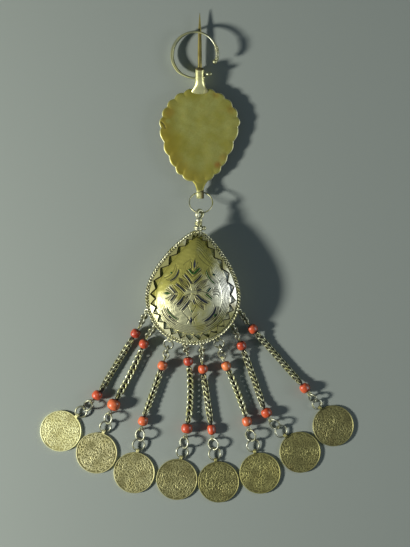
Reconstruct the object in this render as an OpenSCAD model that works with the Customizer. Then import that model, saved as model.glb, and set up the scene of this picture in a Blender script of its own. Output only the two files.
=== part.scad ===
// Open-ring fibula brooch with an enamelled pear-shaped pendant and eight coin drops.
// It lies on a surface at z = 0, as it is put down on a table: the back of the fibula
// and the front of the pendant face up, +Y runs towards the tip of the pin.

/* [Fibula plate] */
// Half of the plate's greatest width
plate_half_w = 17.2; // [15:0.1:19]
// Height of the plate above its widest line
plate_up = 16.8; // [15:0.1:18]
// Depth of the plate below its widest line
plate_down = 22.3; // [20:0.1:24]
// Thickness of the plate
plate_t = 1.2; // [0.9:0.1:1.6]
// Height of the plate's underside above the table
plate_z = 2.9; // [2.6:0.1:3.2]
// Scallops all round the plate's edge
scallops = 22; // [18:2:26]
// Depth of a scallop
scallop_depth = 0.8; // [0.4:0.1:1]
// Radius of the boss on the plate's front
boss_r = 12.5; // [10:0.5:13.5]
// Wall of the boss
boss_wall = 0.8; // [0.6:0.1:1]

/* [Neck and tail] */
// Width of the neck that the ring runs through
neck_w = 3.9; // [3.6:0.1:4.2]
// Width of the neck's foot on the plate
neck_foot_w = 7; // [6:0.1:8]
// Width of the tail's roll
tail_w = 2.9; // [2.5:0.1:3.2]
// Outer radius of the tail's roll
tail_r = 1.5; // [1.4:0.1:1.7]
// Radius of the hole through the tail's roll
tail_hole_r = 0.8; // [0.75:0.05:0.9]

/* [Open ring] */
// Outer radius of the open ring
ring_r = 10.3; // [10:0.1:10.5]
// Radial thickness of the ring's band
ring_t = 1.35; // [1.1:0.05:1.4]
// Height of the band opposite the opening
band_wide = 2; // [1.6:0.1:2]
// Height of the band beside the opening
band_narrow = 1.3; // [1:0.1:1.5]
// Tilt of the ring, its right side up
ring_tilt = 11; // [9:1:12]
// Running gap between the band and the neck
ring_gap = 0.25; // [0.2:0.05:0.3]

/* [Pin] */
// Radius of the pin at the neck
pin_r = 0.95; // [0.8:0.05:1]
// Length of the pin from its seat to its tip
pin_len = 25.4; // [23:0.1:26]
// Gap between the pin and its seat
pin_gap = 0.1; // [0.1:0.05:0.15]

/* [Jump ring and bail] */
// Middle radius of the jump ring
jump_r = 4.87; // [4.7:0.01:5]
// Radius of the jump ring's wire
jump_wire = 0.28; // [0.25:0.01:0.3]
// Middle radius of the bail's loop
bail_r = 1.6; // [1.5:0.1:1.8]
// Radius of the bail's wire
bail_wire = 0.42; // [0.35:0.01:0.45]

/* [Pendant] */
// Half width of the pendant
pend_r = 19.7; // [19:0.1:20.5]
// Height of the pendant above its widest line
pend_up = 27.7; // [26:0.1:29]
// Height of the rim's underside above the table
rim_z = 8; // [7.5:0.1:8.5]
// Thickness of the rim
rim_t = 1; // [0.8:0.1:1.2]
// Height of the zigzag bezel above the rim
bezel_h = 2; // [1.5:0.1:2.5]
// Folds of the zigzag bezel
bezel_folds = 28; // [24:2:32]
// Wall of the bezel
bezel_wall = 0.45; // [0.4:0.05:0.5]
// Inset of the enamelled dome from the pendant's edge
dome_inset = 3.6; // [3.5:0.05:3.8]
// Rise of the enamelled dome
dome_rise = 5.2; // [4:0.1:6]
// Wall of the enamelled dome
dome_wall = 0.8; // [0.6:0.1:1]

/* [Chains] */
// Pitch of the links
link_pitch = 1.62; // [1.6:0.01:1.66]
// Radius of a link's wire
link_wire = 0.22; // [0.18:0.01:0.22]

/* [Beads, rings and coins] */
// Middle radius of the wire eyes at the beads
eye_r = 0.95; // [0.95:0.01:0.98]
// Radius of the eyes' wire
eye_wire = 0.22; // [0.18:0.01:0.22]
// Radius of the hole through a bead
bead_hole_r = 0.42; // [0.36:0.01:0.5]
// Diameter of an upper bead
upper_bead_d = 4; // [3.8:0.1:4.2]
// Height of an upper bead's centre above the table
upper_bead_z = 2.9; // [2.7:0.1:3.2]
// Radius of the small jump rings' wire
drop_wire = 0.27; // [0.24:0.01:0.28]
// Radius of a coin
coin_r = 8.6; // [8.4:0.05:8.6]
// Thickness of a coin at its rim
coin_t = 1; // [0.9:0.05:1.2]
// Outer radius of a coin's loop
coin_loop_r = 1; // [0.98:0.01:1.05]
// Radius of the hole through a coin's loop
coin_loop_hole = 0.68; // [0.66:0.01:0.7]

/* [Hidden] */

$fn = 48;

// Places on the table
plate_at = [1.1, 54.6];
pin_z = 2.4;
pin_seat_y = 77.2;
neck_top_y = 79.4;
neck_foot_y = 70;
neck_knuckle_y = 73.4;
neck_z = [0.9, 6.5];
pin_bore_depth = 2.4;
ring_at = [-1, 84.9, 4.1];
tail_at = [1.3, 27.4, 3.5];
jump_at = [1.6, 23.1];
jump_tilt = 26;
bail_at = [1.1, 18.2, 7.85];
bail_roll = 45;
pend_at = [-1.7, -16.4];
pend_turn = -3;

// The eight drops, left to right
// Columns: angle of the rim loop; upper bead x, y; lower bead x, y, diameter, length;
// sideways bow of the chain; roll of the chain; coin x, y
DROPS = [
    [197, -25.8, -31.6, -41.9, -57.5, 4.2, 4.2, 0.0, 45, -57.2, -72.6],
    [218, -22.3, -36.0, -34.9, -61.5, 5.4, 5.0, 1.0, 0, -42.2, -81.8],
    [241, -14.5, -45.0, -22.6, -68.3, 4.2, 4.2, 0.0, 90, -26.4, -90.1],
    [260, -3.7, -43.3, -4.3, -71.4, 4.8, 4.4, 2.0, 0, -8.5, -92.9],
    [281, 2.4, -46.5, 6.0, -71.9, 3.4, 4.6, 0.0, 45, 9.0, -94.0],
    [301, 12.2, -45.2, 20.9, -68.5, 4.2, 4.2, 1.0, 90, 26.4, -90.3],
    [324, 18.6, -36.7, 29.1, -64.8, 4.4, 4.2, 0.0, 45, 43.2, -81.5],
    [343, 23.3, -29.7, 45.1, -54.5, 4.2, 4.2, 0.0, 45, 57.1, -70.4]];

// Outlines

// Plate: a half ellipse above, an egg's narrow end below
function plate_point(t) =
    let (s = abs(sin(t)), pull = 1 - 0.15 * sin(180 * pow(s, 1.6)))
    sin(t) >= 0 ? [plate_half_w * cos(t), plate_up * sin(t)]
                : [plate_half_w * cos(t) * pull, plate_down * sin(t)];

// Pendant: a half circle below, drawn in towards a rounded top, where the insets are less
top_ease = 0.35;
function pend_point(t) =
    let (s = sin(t))
    s >= 0 ? [pend_r * cos(t) * (1 - 0.45 * pow(s, 1.8)), pend_up * s]
           : [pend_r * cos(t), pend_r * s];
function pend_normal(t) =
    let (d = pend_point(t + 1) - pend_point(t - 1)) [d.y, -d.x] / norm(d);
function pend_inset(t, inset) =
    pend_point(t) - inset * (1 - top_ease * pow(max(sin(t), 0), 4)) * pend_normal(t);

// A closed surface from rows of points between two poles
function rows_faces(rows, n) = concat(
    [for (i = [0 : n - 1]) [0, 1 + i, 1 + (i + 1) % n]],
    [for (r = [0 : rows - 2], i = [0 : n - 1], k = [0, 1])
        let (a = 1 + r * n + i, b = 1 + r * n + (i + 1) % n)
        k == 0 ? [a, b + n, b] : [a, a + n, b + n]],
    [for (i = [0 : n - 1])
        let (last = 1 + (rows - 1) * n) [rows * n + 1, last + (i + 1) % n, last + i]]);

// Directions
function unit(v) = v / norm(v);
function azimuth(v) = atan2(v.y, v.x);
function elevation(v) = atan2(v.z, norm([v.x, v.y]));
function side_of(v) = unit([-v.y, v.x, 0]);
// Roll about one direction that brings the side over to another
function roll_to(dir, other) = atan2(other * cross(dir, side_of(dir)), other * side_of(dir));

// Stands at a point with +X along a direction, rolled about it
module along(at, dir, roll = 0)
    translate(at) rotate([0, -elevation(dir), azimuth(dir)]) rotate([roll, 0, 0]) children();

seam_turn = 37;
module wire_ring(middle_r, wire_r)
    rotate([0, 0, seam_turn]) rotate_extrude($fn = 64)
        translate([middle_r, 0]) circle(wire_r, $fn = 24);

// Where each piece of a drop lies
bead_gap = 0.12;
link_rise = 2.2;
hook = 0.25;
eye_reach = bead_gap + eye_r + eye_wire;
chain_sag_z = 1.3;
bead_lift = 0.2;
rim_loop_r = 0.9;
rim_loop_wire = 0.26;
rim_loop_out = 0.5;
rim_loop_z = 7.5;
coin_loop_z = 1.02;
coin_loop_w = 1.2;
coin_loop_out = 0.75;

function d_angle(d) = d[0];
function d_lower(d) = [d[3], d[4], d[5] / 2 + bead_lift];
function d_upper(d) = [d[1], d[2], upper_bead_z];
function d_lower_half(d) = d[6] / 2;
function d_roll(d) = d[8];
function d_coin(d) = [d[9], d[10], 0];
function d_knee(d) =
    let (a = d_upper(d), b = d_lower(d), m = (a + b) / 2, s = side_of(b - a))
    [m.x + s.x * d[7], m.y + s.y * d[7], chain_sag_z];
function d_upper_dir(d) = unit(d_knee(d) - d_upper(d));
function d_lower_dir(d) =
    unit(unit(d_lower(d) - d_knee(d)) + unit(d_coin(d) + [0, 0, coin_loop_z] - d_lower(d)));
function d_upper_eye(d) = d_upper(d) - d_upper_dir(d) * (upper_bead_d / 2 + eye_reach);
function d_chain_eye(d) = d_upper(d) + d_upper_dir(d) * (upper_bead_d / 2 + eye_reach);
function d_end_eye(d) = d_lower(d) - d_lower_dir(d) * (d_lower_half(d) + eye_reach);
function d_coin_eye(d) = d_lower(d) + d_lower_dir(d) * (d_lower_half(d) + eye_reach);
function d_rim_loop(d) =
    let (r = pend_r + rim_loop_out)
    [pend_at.x + r * cos(d_angle(d)), pend_at.y + r * sin(d_angle(d)), rim_loop_z];
function d_coin_dir(d) = let (v = d_coin(d) - d_coin_eye(d)) unit([v.x, v.y, 0]);
function d_coin_loop(d) =
    let (p = d_coin(d) - d_coin_dir(d) * (coin_r + coin_loop_out)) [p.x, p.y, coin_loop_z];

// Loop-in-loop chain

// One link: the waist lies in the eye before it, the two bights stand round the next waist
// Columns: across the bights, outwards, along the chain
LINK_QUARTER = [[0.28, 1.04, 0], [1.08, 0.8, 1.1], [0.65, 0.28, link_rise]];
link_points = concat(
    [for (i = [0 : 2]) LINK_QUARTER[i]],
    [for (i = [2 : -1 : 0]) [-LINK_QUARTER[i].x, LINK_QUARTER[i].y, LINK_QUARTER[i].z]],
    [for (i = [0 : 2]) [-LINK_QUARTER[i].x, -LINK_QUARTER[i].y, LINK_QUARTER[i].z]],
    [for (i = [2 : -1 : 0]) [LINK_QUARTER[i].x, -LINK_QUARTER[i].y, LINK_QUARTER[i].z]]);
link_n = len(link_points);
wire_sides = 5;
link_middle = [0, 0, link_rise / 2];

// Corners of the wire's skin round each point of the link
function link_skin(i) =
    let (
        p = link_points[i],
        t = unit(link_points[(i + 1) % link_n] - link_points[(i + link_n - 1) % link_n]),
        out = p - link_middle,
        u = unit(out - (out * t) * t),
        v = cross(t, u))
    [for (k = [0 : wire_sides - 1])
        let (a = 360 * k / wire_sides) p + link_wire * (cos(a) * u + sin(a) * v)];
link_shape = [for (i = [0 : link_n - 1]) each link_skin(i)];
skin_n = link_n * wire_sides;

function link_faces(first) =
    [for (i = [0 : link_n - 1], k = [0 : wire_sides - 1], half = [0, 1])
        let (
            next = (i + 1) % link_n,
            a = first + i * wire_sides + k,
            b = first + i * wire_sides + (k + 1) % wire_sides,
            c = first + next * wire_sides + (k + 1) % wire_sides,
            e = first + next * wire_sides + k)
        half == 0 ? [a, c, b] : [a, e, c]];

// The chain's line, from the first waist to the last tip
function chain_start(d) = d_chain_eye(d) + d_upper_dir(d) * hook;
function chain_end(d) = d_end_eye(d) - d_lower_dir(d) * hook;
function chain_at(d, s) =
    (1 - s) * (1 - s) * chain_start(d) + 2 * s * (1 - s) * d_knee(d) + s * s * chain_end(d);
function chain_dir(d, s) =
    unit((1 - s) * (d_knee(d) - chain_start(d)) + s * (chain_end(d) - d_knee(d)));

// Turns a link's corner to its place: z along the chain, x and y across it
function to_chain(p, at, dir, roll) =
    let (
        side = side_of(dir),
        up = cross(dir, side),
        x = cos(roll) * side + sin(roll) * up,
        y = cos(roll) * up - sin(roll) * side)
    at + p.x * x + p.y * y + p.z * dir;

module chain(d) {
    total = norm(chain_end(d) - chain_start(d));
    count = round((total - link_rise) / link_pitch) + 1;
    step = (1 - link_rise / total) / (count - 1);
    corners = [for (i = [0 : count - 1])
        let (s = i * step, at = chain_at(d, s), dir = chain_dir(d, s + step / 2))
        each [for (p = link_shape) to_chain(p, at, dir, d_roll(d))]];
    color("silver")
        polyhedron(corners, [for (i = [0 : count - 1]) each link_faces(i * skin_n)]);
}

// Beads, their wires and the small rings

module bead(at, dir, d, length)
    color([0.85, 0.3, 0.2])
    along(at, dir) rotate([0, 90, 0]) difference() {
        intersection() {
            cylinder(r = d / 2, h = length, center = true);
            sphere(norm([d, length]) / 2 * 0.86, $fn = 64);
        }
        cylinder(r = bead_hole_r, h = length + 1, center = true);
    }

// A wire through a bead, with an eye at both ends
module bead_wire(at, dir, length, roll_in, roll_out) {
    along(at, dir) rotate([0, 90, 0])
        cylinder(r = eye_wire * 0.9, h = length + 2 * (eye_reach - eye_r), center = true, $fn = 24);
    reach = length / 2 + eye_reach;
    along(at - dir * reach, dir, roll_in) wire_ring(eye_r, eye_wire);
    along(at + dir * reach, dir, roll_out) wire_ring(eye_r, eye_wire);
}

// The second ring lies almost flat; the first leans over as far as the table lets it
ring_a_roll = -10;
ring_b_lean = 44;

module bead_wires(d) color("silver") {
    bead_wire(d_upper(d), d_upper_dir(d), upper_bead_d, roll_to(d_upper_dir(d), upper_way(d)), d_roll(d));
    bead_wire(d_lower(d), d_lower_dir(d), d[6], d_roll(d) + 90, ring_b_roll(d) + 90);
}

// Rings from the rim's loop to the upper bead: one if the way is short, two if it is long
rim_play = 0.2;
eye_play = 0.25;
link_play = 2 * drop_wire + 0.12;
function upper_way(d) = d_upper_eye(d) - d_rim_loop(d);
function upper_rings(d) = norm(upper_way(d)) < 5.4 ? 1 : 2;
// The ring at the eye stands square to the eye, and each one before it is turned a quarter
function upper_roll(d) = let (u = unit(upper_way(d))) roll_to(u, cross(d_upper_dir(d), u));
function upper_ring_r(d) =
    let (w = norm(upper_way(d)) - rim_play - eye_play)
    upper_rings(d) == 1 ? w / 2 : (w + link_play) / 4;

// Rings from the lower bead to the coin's loop, the second a little larger
coin_play = 0.12;
ring_a_over_b = 1.05;
function lower_way(d) = d_coin_loop(d) - d_coin_eye(d);
function ring_b_r(d) =
    (norm(lower_way(d)) - eye_play - coin_play + link_play) / (2 + 2 * ring_a_over_b);
function ring_a_r(d) = ring_b_r(d) * ring_a_over_b;
function ring_b_at(d) = d_coin_eye(d) + unit(lower_way(d)) * (ring_b_r(d) + eye_play);
function ring_b_roll(d) =
    asin(min(sin(ring_b_lean), (ring_b_at(d).z - drop_wire - 0.08) / ring_b_r(d)));

module jump_rings(d) color([0.8, 0.78, 0.66]) {
    up = unit(upper_way(d));
    r = upper_ring_r(d);
    along(d_upper_eye(d) - up * (r + eye_play), up, upper_roll(d)) wire_ring(r, drop_wire);
    if (upper_rings(d) == 2)
        along(d_rim_loop(d) + up * (r + rim_play), up, upper_roll(d) + 90) wire_ring(r, drop_wire);
    low = unit(lower_way(d));
    along(ring_b_at(d), low, ring_b_roll(d))
        wire_ring(ring_b_r(d), drop_wire);
    along(d_coin_loop(d) - low * (ring_a_r(d) + coin_play), low, ring_a_roll)
        wire_ring(ring_a_r(d), drop_wire);
}

// Coins

field_t = coin_t - 0.22;
relief_t = coin_t - 0.08;
// Worn generic strokes. Columns: x, y, turn, length
STROKES = [[-3.6, 1.8, 20, 2.6], [0.2, 3.2, -15, 3.4], [3.4, 1.6, 40, 2.4], [-2.6, -1.6, -35, 3],
    [1.2, -0.6, 10, 3.8], [3.4, -2.6, -20, 2.2], [-0.6, -3.8, 15, 3]];

module coin(number) {
    d = DROPS[number - 1];
    dir = d_coin_dir(d);
    color([0.72, 0.7, 0.45]) difference() {
        union() {
            translate(d_coin(d)) rotate([0, 0, azimuth(dir) + 47 * number]) {
                rotate_extrude($fn = 96) polygon([[0, 0], [coin_r, 0], [coin_r, coin_t],
                    [coin_r - 0.6, coin_t], [coin_r - 0.6, field_t], [6.6, field_t], [6.6, relief_t],
                    [6.3, relief_t], [6.3, field_t], [0, field_t]]);
                for (s = STROKES)
                    translate([s[0], s[1], relief_t / 2]) rotate([0, 0, s[2]])
                        cube([s[3], 0.5, relief_t], center = true);
            }
            translate(d_coin_loop(d)) rotate([90, 0, azimuth(dir)])
                cylinder(r = coin_loop_r, h = coin_loop_w, center = true);
        }
        translate(d_coin_loop(d)) rotate([90, 0, azimuth(dir)])
            cylinder(r = coin_loop_hole, h = 4, center = true);
        if (number == 4)
            for (end = [[-0.9, 7.6], [0.7, -7.4]])
                translate([d_coin(d).x + end.x, d_coin(d).y + end.y, -1])
                    cylinder(r = 0.45, h = coin_t + 2, $fn = 24);
    }
}

// Fibula

module at_ring() translate(ring_at) rotate([0, -ring_tilt, 0]) children();

module plate_outline() polygon([for (i = [0 : scallops * 6 - 1])
    let (
        t = 360 * i / (scallops * 6),
        p = plate_point(t),
        e = plate_point(t + 1) - plate_point(t - 1),
        out = [e.y, -e.x] / norm(e),
        lobe = 1 - abs(sin(t * scallops / 2)))
    plate_at + p - out * scallop_depth * lobe]);

module neck_bar() {
    translate([plate_at.x, 0, neck_z[0]]) linear_extrude(neck_z[1] - neck_z[0])
        polygon([[-neck_w / 2, neck_knuckle_y], [neck_w / 2, neck_knuckle_y],
            [neck_w / 2, neck_top_y - 0.4], [neck_w / 2 - 0.4, neck_top_y],
            [-neck_w / 2 + 0.4, neck_top_y], [-neck_w / 2, neck_top_y - 0.4]]);
    translate([plate_at.x, 0, plate_z - 0.5]) linear_extrude(plate_t + 1.4)
        polygon([[-neck_foot_w / 2, neck_foot_y], [neck_foot_w / 2, neck_foot_y],
            [neck_w / 2 + 0.5, neck_foot_y + 1.6], [neck_w / 2, neck_knuckle_y + 0.01],
            [-neck_w / 2, neck_knuckle_y + 0.01], [-neck_w / 2 - 0.5, neck_foot_y + 1.6]]);
}

module tail() {
    half = tail_w / 2;
    translate([0, 0, plate_z]) linear_extrude(plate_t)
        polygon([[plate_at.x - 2.1, 33.5], [plate_at.x - 2, 31.6], [tail_at.x - half, 28.8],
            [tail_at.x - half, tail_at.y], [tail_at.x + half, tail_at.y], [tail_at.x + half, 28.8],
            [plate_at.x + 2.1, 31.6], [plate_at.x + 2.1, 33.5]]);
    translate(tail_at) rotate([0, 90, 0]) cylinder(r = tail_r, h = tail_w, center = true);
}

module fibula_plate() color([0.62, 0.58, 0.32]) difference() {
    union() {
        translate([0, 0, plate_z]) linear_extrude(plate_t) plate_outline();
        neck_bar();
        tail();
    }
    at_ring() rotate_extrude($fn = 96)
        translate([ring_r - ring_t - ring_gap, -band_wide / 2 - ring_gap])
            square([ring_t + 2 * ring_gap, band_wide + 2 * ring_gap]);
    translate([plate_at.x, neck_top_y - pin_bore_depth, pin_z]) rotate([-90, 0, 0])
        cylinder(r = pin_r + pin_gap, h = pin_bore_depth + 1);
    translate(tail_at) rotate([0, 90, 0]) cylinder(r = tail_hole_r, h = tail_w + 2, center = true);
}

// Shallow hollow boss on the front, which faces the table
boss_gap = 0.15;
module front_boss() color([0.7, 0.68, 0.5]) {
    rise = plate_z - boss_gap;
    bow = (boss_r * boss_r + rise * rise) / (2 * rise);
    translate([plate_at.x, plate_at.y, 0]) difference() {
        intersection() {
            translate([0, 0, bow]) sphere(bow, $fn = 128);
            cylinder(r = boss_r + 1, h = rise);
        }
        translate([0, 0, bow]) sphere(bow - boss_wall, $fn = 128);
    }
}

module pin() color([0.6, 0.48, 0.2])
    translate([plate_at.x, pin_seat_y, pin_z]) rotate([-90, 0, 0]) {
        cylinder(r = pin_r, h = pin_len * 0.3);
        translate([0, 0, pin_len * 0.3]) cylinder(r1 = pin_r, r2 = pin_r * 0.75, h = pin_len * 0.4);
        translate([0, 0, pin_len * 0.7]) cylinder(r1 = pin_r * 0.75, r2 = 0.12, h = pin_len * 0.3);
    }

ring_from = 342;
ring_to = 666;
wound_from = 348;
wound_to = 380;
wound_r = 1;
wound_turns = 6;
ball_r = 0.85;
knob_r = 0.85;
module fibula_ring() color([0.75, 0.72, 0.5]) at_ring() {
    middle = ring_r - ring_t / 2;
    intersection() {
        rotate_extrude(angle = ring_to - ring_from, start = ring_from, $fn = 96)
            translate([ring_r - ring_t, -band_wide]) square([ring_t, 2 * band_wide]);
        rotate([90, 0, 0]) linear_extrude(3 * ring_r, center = true)
            polygon([[-ring_r, -band_wide / 2], [ring_r, -band_narrow / 2],
                [ring_r, band_narrow / 2], [-ring_r, band_wide / 2]]);
    }
    turn = (wound_to - wound_from) / wound_turns;
    for (i = [0 : wound_turns - 1])
        rotate([0, 0, wound_from + turn * (i + 0.5)]) translate([middle, 0, 0]) rotate([90, 0, 0])
            cylinder(r = wound_r, h = 0.55, center = true);
    rotate([0, 0, ring_from - 1]) translate([middle - 0.5, 0, 0]) sphere(ball_r);
    rotate([0, 0, ring_to + 1.5]) translate([middle + 0.1, 0, 0]) sphere(knob_r);
}

module jump_ring() color("silver")
    translate([jump_at.x, jump_at.y, (tail_at.z + bail_at.z) / 2])
        rotate([-jump_tilt, 0, 0]) wire_ring(jump_r, jump_wire);

// Pendant

stations = bezel_folds * 2;
// Rows of the back shell. Columns: share of the outline, height
BACK_OUT = [[0.3, 0.35], [0.58, 1.4], [0.8, 3.1], [0.94, 5.4]];
BACK_IN = [[0.88, 5.9], [0.74, 3.9], [0.5, 2.2]];
back_wall = 0.9;
ledge_z = rim_z + rim_t;
// Rows of the rim and the bezel. Columns: inset, height, share of the fold's depth
fold_depth = 0.9;
RIM_ROWS = [[0.5, rim_z - 0.5, 0], [0, rim_z, 0], [0, ledge_z, 0], [1.4, ledge_z + 0.2, 0],
    [1.75, ledge_z + 0.2, 1], [2.0, ledge_z + bezel_h, 1], [2.0 + bezel_wall, ledge_z + bezel_h, 1],
    [2.0 + bezel_wall, ledge_z + 0.3, 1], [4.2, ledge_z, 0]];

function share_row(row) = [for (i = [0 : stations - 1])
    let (p = row[0] * pend_point(360 * i / stations)) [p.x, p.y, row[1]]];
function rim_row(row) = [for (i = [0 : stations - 1])
    let (p = pend_inset(360 * i / stations, row[0] + row[2] * fold_depth * (i % 2))) [p.x, p.y, row[1]]];

module pendant_shell() {
    points = concat([[0, 1, 0]], [for (r = BACK_OUT) each share_row(r)],
        [for (r = RIM_ROWS) each rim_row(r)], [for (r = BACK_IN) each share_row(r)],
        [[0, 1, back_wall + 0.6]]);
    polyhedron(points, rows_faces(len(BACK_OUT) + len(RIM_ROWS) + len(BACK_IN), stations));
}

bail_stem_r = 0.95;
module bail() {
    apex = [0, pend_up, rim_z + rim_t / 2];
    stem = norm([bail_at.x - pend_at.x, bail_at.y - pend_at.y]) - bail_r;
    translate([0, apex.y - 1, apex.z]) rotate([-90, 0, 0]) cylinder(r = bail_stem_r, h = stem - apex.y + 1.4);
    for (y = [apex.y + 1.2, apex.y + 3.1])
        translate([0, y, apex.z]) rotate([-90, 0, 0]) cylinder(r = 1.35, h = 1.2, center = true);
    translate([2.3, apex.y + 1.2, apex.z]) sphere(0.8);
    translate([1.3, apex.y + 1.2, apex.z]) rotate([0, 90, 0]) cylinder(r = 0.4, h = 1.6, center = true);
}

module pendant_box() color([0.7, 0.68, 0.5]) {
    translate(pend_at) rotate([0, 0, pend_turn]) {
        pendant_shell();
        bail();
    }
    translate(bail_at) rotate([0, 0, 90 + pend_turn]) rotate([bail_roll, 0, 0]) wire_ring(bail_r, bail_wire);
    for (d = DROPS)
        along(d_rim_loop(d), unit(upper_way(d)), upper_roll(d) + 90 * upper_rings(d))
            wire_ring(rim_loop_r, rim_loop_wire);
}

// Enamelled dome behind the bezel
dome_n = 40;
dome_z = ledge_z + 0.45;
// Rows of the dome, outside then inside. Columns: share of the way out from the middle, rise
DOME_OUT = [[1, 0], [1, 0.1], [0.86, 0.42], [0.62, 0.76], [0.32, 0.95]];
DOME_IN = [[0.4, 0.76], [0.7, 0.5], [0.93, 0]];
dome_middle = [0, 2.5];
function dome_row(row, lift) = [for (i = [0 : dome_n - 1])
    let (p = dome_middle + row[0] * (pend_inset(360 * i / dome_n, dome_inset) - dome_middle))
    [p.x, p.y, dome_z + row[1] * dome_rise + lift]];

module enamel_dome() color([0.45, 0.5, 0.4])
    translate(pend_at) rotate([0, 0, pend_turn])
        polyhedron(
            concat([[dome_middle.x, dome_middle.y, dome_z + dome_rise - dome_wall]],
                [for (r = DOME_IN) each dome_row(r, 0)],
                [for (i = [0 : len(DOME_OUT) - 1]) each dome_row(DOME_OUT[i], 0)],
                [[dome_middle.x, dome_middle.y, dome_z + dome_rise]]),
            rows_faces(len(DOME_IN) + len(DOME_OUT), dome_n));

fibula_plate();
front_boss();
pin();
fibula_ring();
jump_ring();
pendant_box();
enamel_dome();
for (i = [1 : len(DROPS)]) {
    d = DROPS[i - 1];
    bead(d_upper(d), d_upper_dir(d), upper_bead_d, upper_bead_d);
    bead_wires(d);
    chain(d);
    bead(d_lower(d), d_lower_dir(d), d[5], d[6]);
    jump_rings(d);
    coin(i);
}
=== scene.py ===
# %% [markdown]
# # An open-ring fibula with an enamelled pendant
#
# The real object is a brooch of silver that has turned olive and gold with age. It lies on a table and
# is seen straight from above. From top to bottom it has a pin under an open ring, an egg-shaped plate
# that shows its plain back, a pear-shaped pendant with enamel, and eight chains with coral beads and
# coins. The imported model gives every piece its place. This lesson gives each one its finer shape and
# its finish.

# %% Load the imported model
import math

import bpy
import numpy as np
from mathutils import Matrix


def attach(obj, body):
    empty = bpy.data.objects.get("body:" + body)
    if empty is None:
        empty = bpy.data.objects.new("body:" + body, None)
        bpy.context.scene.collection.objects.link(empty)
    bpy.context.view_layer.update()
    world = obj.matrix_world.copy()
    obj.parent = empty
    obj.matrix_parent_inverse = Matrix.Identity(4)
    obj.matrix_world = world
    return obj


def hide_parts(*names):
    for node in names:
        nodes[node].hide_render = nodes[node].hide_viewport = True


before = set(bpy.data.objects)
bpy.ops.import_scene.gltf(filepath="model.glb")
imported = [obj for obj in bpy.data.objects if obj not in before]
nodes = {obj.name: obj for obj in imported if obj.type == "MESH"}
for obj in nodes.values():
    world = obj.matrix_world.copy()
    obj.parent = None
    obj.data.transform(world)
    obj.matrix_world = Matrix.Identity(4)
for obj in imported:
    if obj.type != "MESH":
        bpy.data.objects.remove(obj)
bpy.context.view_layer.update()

# %% [markdown]
# ## From numbers to meshes
#
# Jewellery this small is easiest to think of in millimetres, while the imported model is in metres.
# Points could be scaled object by object, but then textures would stretch. It is cleaner to scale
# the numbers once, in the one function that makes an object.

# %% One way to make an object
MM = 0.001


def as_piece(name, shape, body="brooch", smooth=True, marks=None, material=None):
    """An object from (points in mm, faces) that rides on a body. Marks are one number a point, which the finishes read
    as soot, painted shade, painted highlights and the coral's tone.
    """
    points, faces = shape
    mesh = bpy.data.meshes.new(name)
    mesh.from_pydata((np.asarray(points, float) * MM).tolist(), [], faces)
    if marks is not None:
        mesh.attributes.new("marks", "FLOAT", "POINT").data.foreach_set("value", np.asarray(marks, np.float32))
    if smooth:
        mesh.shade_smooth()
    if material:
        mesh.materials.append(material)
    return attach(in_scene(name, mesh), body)


def in_scene(name, data):
    made = bpy.data.objects.new(name, data)
    bpy.context.scene.collection.objects.link(made)
    return made


def filled(marks, shape, value):
    """Marks for all points of a shape: the given ones, and one value for those that are left."""
    return np.concatenate([marks, np.full(len(shape[0]) - len(marks), value)])


def joined(shapes):
    """Several (points, faces) as one."""
    points, faces, first = [], [], 0
    for some_points, some_faces in shapes:
        points.append(np.asarray(some_points, float))
        faces += [tuple(corner + first for corner in face) for face in some_faces]
        first += len(some_points)
    return np.vstack(points), faces


print("pieces are made in millimetres and stored in metres")

# %% [markdown]
# ## Skins over rows of points
#
# Almost everything here is a row of points carried along a way: a wire is a circle along a curve,
# the plate is an outline that shrinks to its middle. One function that skins a table of points
# serves them all, and two switches close it round and along.

# %% Skin, wire and ring
def skin(rows, round_closed=True, along_closed=False, caps=False):
    """(points, faces) over an array of rows x points x 3."""
    rows = np.asarray(rows, float)
    count, size = rows.shape[:2]
    faces = []
    for r in range(count if along_closed else count - 1):
        below, above = r * size, (r + 1) % count * size
        for i in range(size if round_closed else size - 1):
            j = (i + 1) % size
            faces.append((below + i, below + j, above + j, above + i))
    if caps:
        faces.append(tuple(reversed(range(size))))
        faces.append(tuple((count - 1) * size + i for i in range(size)))
    return rows.reshape(-1, 3), faces


def unit(v):
    v = np.asarray(v, float)
    return v / np.linalg.norm(v, axis=-1, keepdims=True)


def angles(count):
    return 2 * np.pi * np.arange(count) / count


def polar(radius, angle, z=0.0):
    """Points at a radius, an angle and a height."""
    return np.stack(np.broadcast_arrays(radius * np.cos(angle), radius * np.sin(angle), z), axis=-1)


def at_height(flat, z):
    """Flat points, lifted to one height or to a height each."""
    return np.column_stack([flat, np.broadcast_to(z, len(flat))])


# A direction that no wire here runs in, to start its frame from
ODD_WAY = (0.31, 0.17, 0.93)


def tangents(path, closed):
    if closed:
        return unit(np.roll(path, -1, axis=0) - np.roll(path, 1, axis=0))
    return unit(np.gradient(path, axis=0))


def wire(path, thickness, sides=8, closed=False):
    """A round wire, in which thickness is its radius."""
    path = np.asarray(path, float)
    way = tangents(path, closed)
    up = np.cross(way[0], ODD_WAY)
    ups = []
    for t in way:
        up = unit(up - np.dot(up, t) * t)
        ups.append(up)
    ups = np.array(ups)
    if closed:
        last = unit(ups[-1] - np.dot(ups[-1], way[0]) * way[0])
        turn = math.atan2(np.dot(np.cross(last, ups[0]), way[0]), np.dot(last, ups[0]))
        share = np.arange(len(path))[:, None] / len(path) * turn
        ups = ups * np.cos(share) + np.cross(way, ups) * np.sin(share)
    angle = angles(sides)[:, None]
    rows = path[:, None] + thickness * (np.cos(angle) * ups[:, None] + np.sin(angle) * np.cross(way, ups)[:, None])
    return skin(rows, along_closed=closed, caps=not closed)


def spun(profile, count=32, caps=True):
    """A profile of (radius, height) spun round the z axis."""
    return skin([polar(r, angles(count), z) for r, z in profile], caps=caps)


print("skins ready")

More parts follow.
